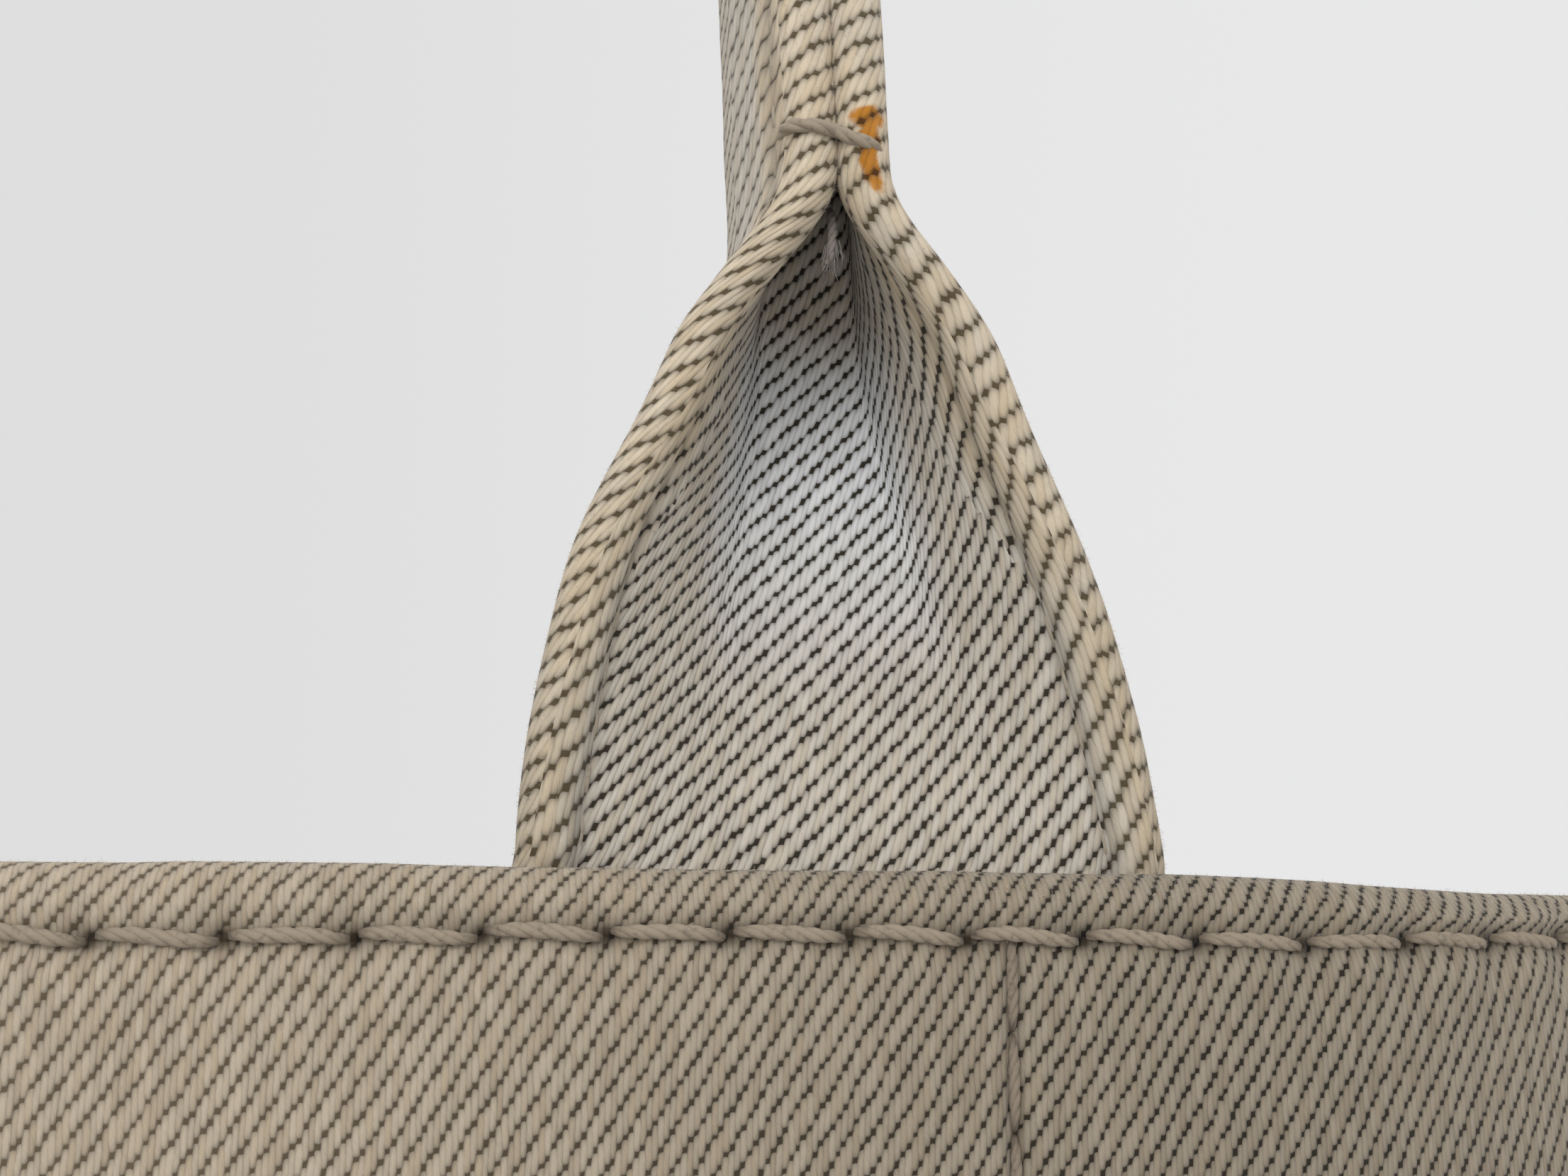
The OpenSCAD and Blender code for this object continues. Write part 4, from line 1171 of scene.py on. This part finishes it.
def makePocket(label, c, t0, half, radius, inside, seed):
    name = label + "Pocket"
    nodeName = "".join("_" + ch.lower() if ch.isupper() else ch for ch in label)
    cloth, slot, grain = (liningCloth, "lining_canvas", "plain") if inside else (pocketCloth, "pocket_canvas", "body")
    way, wallIn = (-1.0, inFace) if inside else (1.0, 0.0)
    low, high, thick, bind, tape, base = (c[key] for key in ("low", "top", "thick", "bind", "tape", "seat"))
    along, out, length, slope = pocketLine(c, half, radius, way)
    free = np.clip((out - base) / c["bulge"], 0, 1)
    level, run = np.meshgrid(np.append(np.arange(low, high - 1.0, 4.0), [high - 0.6, high]), length, indexing="ij")
    share = (level - low) / (high - low)
    fold = sum(lumps(run * fx, level * fy, size, seed + k, step) for k, (size, fx, fy, step) in enumerate(c["folds"]))
    pull = c["foot"][0] * np.exp(-share / c["foot"][1]) + c["mouth"][0] * smooth(share, *c["mouth"][1:])
    face = out + fold * np.sqrt(free) - pull * free
    across, up = (repeated(np.concatenate([v, v[:, ::-1]], 1)) for v in (run, level))
    uv = weaveUv(across + seed * 7, up, grain)
    level = level - c["sink"][0] * smooth(share, *c["sink"][1:]) * free
    nOut, nAlong = np.sqrt(np.clip(1 - slope ** 2, 0, 1)), -slope

    def atWall(a, o, z, least=base):
        return wallPoints(t0 + a, way * np.maximum(o, least) - wallIn, z)
    sheets = [atWall(along + nAlong * thick * k, face + nOut * thick * k, level) for k in (1.0, 0.0)]
    obj = loft(name, np.concatenate([sheets[0], sheets[1][:, ::-1]], 1), uv)
    finish(obj, cloth, "bucket", [nodeName + "_pocket"])
    # bottom of the pocket
    back, front = 0 * along + base, face[0] + thick * 0.5 * nOut
    corners = ((back, 0.0), (front, 0.0), (front, thick), (back, thick))
    ring = np.stack([atWall(along, o, low - 0.05 + z, -1e3) for o, z in corners], 1)[4:-4]
    bottom = loft(name + "Bottom", ring, repeated(weaveUv(ring[..., 0], ring[..., 1], "plain")))
    finish(bottom, cloth, "bucket")
    # binding folded over the top edge
    profile = [(-0.25 - tape, -bind), (-0.3 - tape, -bind / 2), (-0.25 - tape, -0.2), (-0.1 - tape * 0.6, 0.75),
               (thick / 2, 1.0), (thick + 0.1 + tape * 0.6, 0.75), (thick + 0.25 + tape, -0.2),
               (thick + 0.3 + tape, -bind / 2), (thick + 0.25 + tape, -bind), (thick + 0.12, -bind),
               (thick + 0.12, -0.1), (-0.12, -0.1), (-0.12, -bind)]
    offs, heights = np.array(profile).T
    keep = slice(5, len(along) - 5)
    topOut, topAlong, topFace, lean = (v[keep, None] for v in (nOut, nAlong, face[-1], face[-4] - face[-1]))
    a = along[keep, None] + topAlong * offs
    o = topFace + topOut * offs + lean * np.clip(-heights / bind, 0, 1)
    o = o + 0.10 * ripple2(a, heights * 2, seed + 5, 4.0) * np.sign(offs - thick / 2)
    points = atWall(a, o, level[-1][keep, None] + heights, base * 0.6)
    uv = weaveUv(*np.meshgrid(np.append(runOf(offs, heights), 0), length[keep], indexing="xy")[::-1], "plain")
    band = loft(name + "Binding", points, uv * tapeSet["fine"])
    finish(band, tapeCloth, "bucket", [nodeName + "_binding"])
    # stitches: the binding, and the sewn sides
    past, line = thick + 0.2 + tape, face[-1] + 0.9 * (face[-4] - face[-1])
    runs = []
    for at in np.arange(length[keep][0] + 1.5, length[keep][-1] - 3.0, c["pitch"]):
        ends = []
        for q in (at + shift for shift in c["stitch"]):
            aq, oq, zq, no, na = (np.interp(q, length, v) for v in (along, line, level[-1], nOut, nAlong))
            end, facing = onWall(t0 + aq + na * past, zq - bind + 1.8, way * (oq + no * past) - wallIn)
            ends.append(end)
            normal = facing * way * no + np.array([-facing[1], facing[0], 0.0]) * na
        runs.append((*ends, unit(normal)))
    edgeOut = way * (base + thick + 0.12) - wallIn
    for t in (along[0] + 1.6, along[-1] - 1.6):
        for z in np.arange(low + 1, high - 3, c["pitch"]):
            (start, facing), (end, facing) = (onWall(t0 + t, z + up, edgeOut) for up in c["stitch"])
            runs.append((start, end, facing * way))
    sew(name + "Stitches", runs, "bucket", radius=0.2, lift=0.1, dive=0.35, slot="binding_tape")


# name, place along the wall, and whether it lies on a round side
sideMid = girth / 4
tapeAngle = math.asin((tapeSet["width"] / 2 + pocketSet["space"]) / sideR)
sideAt, sidePocketHalf = (sideAngle + tapeAngle) / 2 * sideR, (sideAngle - tapeAngle) / 2
frontX = (panelHalf + pocketSet["space"] / 2) / 2
frontHalf = (panelHalf - 1.5 * pocketSet["space"]) / 2
outerPlaces = [("frontLeft", -frontX, 0), ("frontRight", frontX, 0), ("rearRight", rearT - frontX, 0),
               ("rearLeft", rearT + frontX, 0), ("rightFront", sideMid - sideAt, 1),
               ("rightRear", sideMid + sideAt, 1), ("leftRear", 3 * sideMid - sideAt, 1),
               ("leftFront", 3 * sideMid + sideAt, 1)]
innerHalf, innerPanelHalf = math.radians(16.0), legX + 10.5 + innerSet["flange"] / 2
innerAt = sideAngle / 2 * sideR
innerPlaces = [("innerFront", 0.0, 0), ("innerRear", rearT, 0), ("innerRightFront", sideMid - innerAt, 1),
               ("innerRightRear", sideMid + innerAt, 1), ("innerLeftRear", 3 * sideMid - innerAt, 1),
               ("innerLeftFront", 3 * sideMid + innerAt, 1)]
for i, (label, t0, curved) in enumerate(outerPlaces):
    half, radius = (sidePocketHalf, sideR) if curved else (frontHalf, None)
    makePocket(label, pocketSet, t0, half, radius, False, 80 + i * 7)
for i, (label, t0, curved) in enumerate(innerPlaces):
    half, radius = (innerHalf, sideR - inFace) if curved else (innerPanelHalf, None)
    makePocket(label, innerSet, t0, half, radius, True, 160 + i * 7)
log("pockets")


def finishBoards():  # boards inside the cloth stay as they are, in a plain grey board finish
    material, tree, shader = newMaterial("board", Roughness=0.8)
    grain = noise(tree, node(tree, "TexCoord")["Object"], 900.0, 4.0)
    put(shader.inputs["Base Color"], blendColor(grain, rgb(96, 94, 90), rgb(130, 128, 122)))
    for label in ("front_stiffener", "rear_stiffener", "left_stiffener", "right_stiffener", "base_board"):
        materials = bpy.data.objects[label].data.materials
        if not materials:
            materials.append(material)
        for place in range(len(materials)):
            materials[place] = material


finishBoards()

# lights and backdrop
lightSet = {"lamps": (("frontLight", (10.0, -320.0, 460.0), 0.1, 0.24),
                      ("leftLight", (-520.0, -720.0, 560.0), 0.5, 1.5)),
            "aim": (40.0, -122.0, 330.0), "world": 0.83, "fromBelow": 0.72, "fromAbove": 1.28}
floorSet = {"size": 6, "level": -0.0005, "glow": 0.05}


def makeLights(c):
    for name, place, size, power in c["lamps"]:
        data = bpy.data.lights.new(name, "AREA")
        data.energy, data.size = power, size
        lamp = bpy.data.objects.new(name, data)
        bpy.context.scene.collection.objects.link(lamp)
        lamp.location = Vector(place) / 1000
        lamp.rotation_euler = (Vector(c["aim"]) - Vector(place)).to_track_quat("-Z", "Y").to_euler()
    world = bpy.data.worlds.new("studio")
    bpy.context.scene.world = world
    world.use_nodes = True
    tree = world.node_tree
    tree.nodes.clear()
    path = node(tree, "LightPath")
    seen = calc("MAXIMUM", calc("MAXIMUM", path["Is Camera Ray"], path["Is Glossy Ray"]), path["Is Transmission Ray"])
    way = node(tree, "SeparateXYZ", {0: node(tree, "TexCoord")["Generated"]})
    # painted light: the backdrop seen by the camera is a little paler to the right
    pale = blendColor(remap(way[0], -0.35, 0.45), rgb(222, 222, 222), rgb(232, 232, 233))
    level = remap(way[2], -1.0, 1.0, c["fromBelow"], c["fromAbove"], "LINEAR") * c["world"]
    light = node(tree, "Background", {"Color": (1.0, 0.99, 0.98, 1), "Strength": level})
    shown = node(tree, "Background", {"Color": pale, "Strength": 1.0})
    node(tree, "OutputWorld", {0: node(tree, "MixShader", {0: seen, 1: light, 2: shown})})


def makeFloor(c):
    bpy.ops.object.select_all(action="DESELECT")
    bpy.ops.mesh.primitive_plane_add(size=c["size"], location=(0, 0, c["level"]))
    floor = bpy.context.object
    floor.name = "floor"
    bpy.ops.object.transform_apply(location=True, rotation=True, scale=True)
    material, tree, shader = newMaterial("paleFloor", Base_Color=rgb(226, 226, 225), Roughness=0.9,
                                         Emission_Color=(1, 1, 1, 1))
    # paler to the eye alone, so that it sends no more light up
    put(shader.inputs["Emission Strength"], node(tree, "LightPath")["Is Camera Ray"] * c["glow"])
    floor.data.materials.append(material)


makeLights(lightSet)
makeFloor(floorSet)
bpy.context.scene.view_settings.view_transform = "Standard"
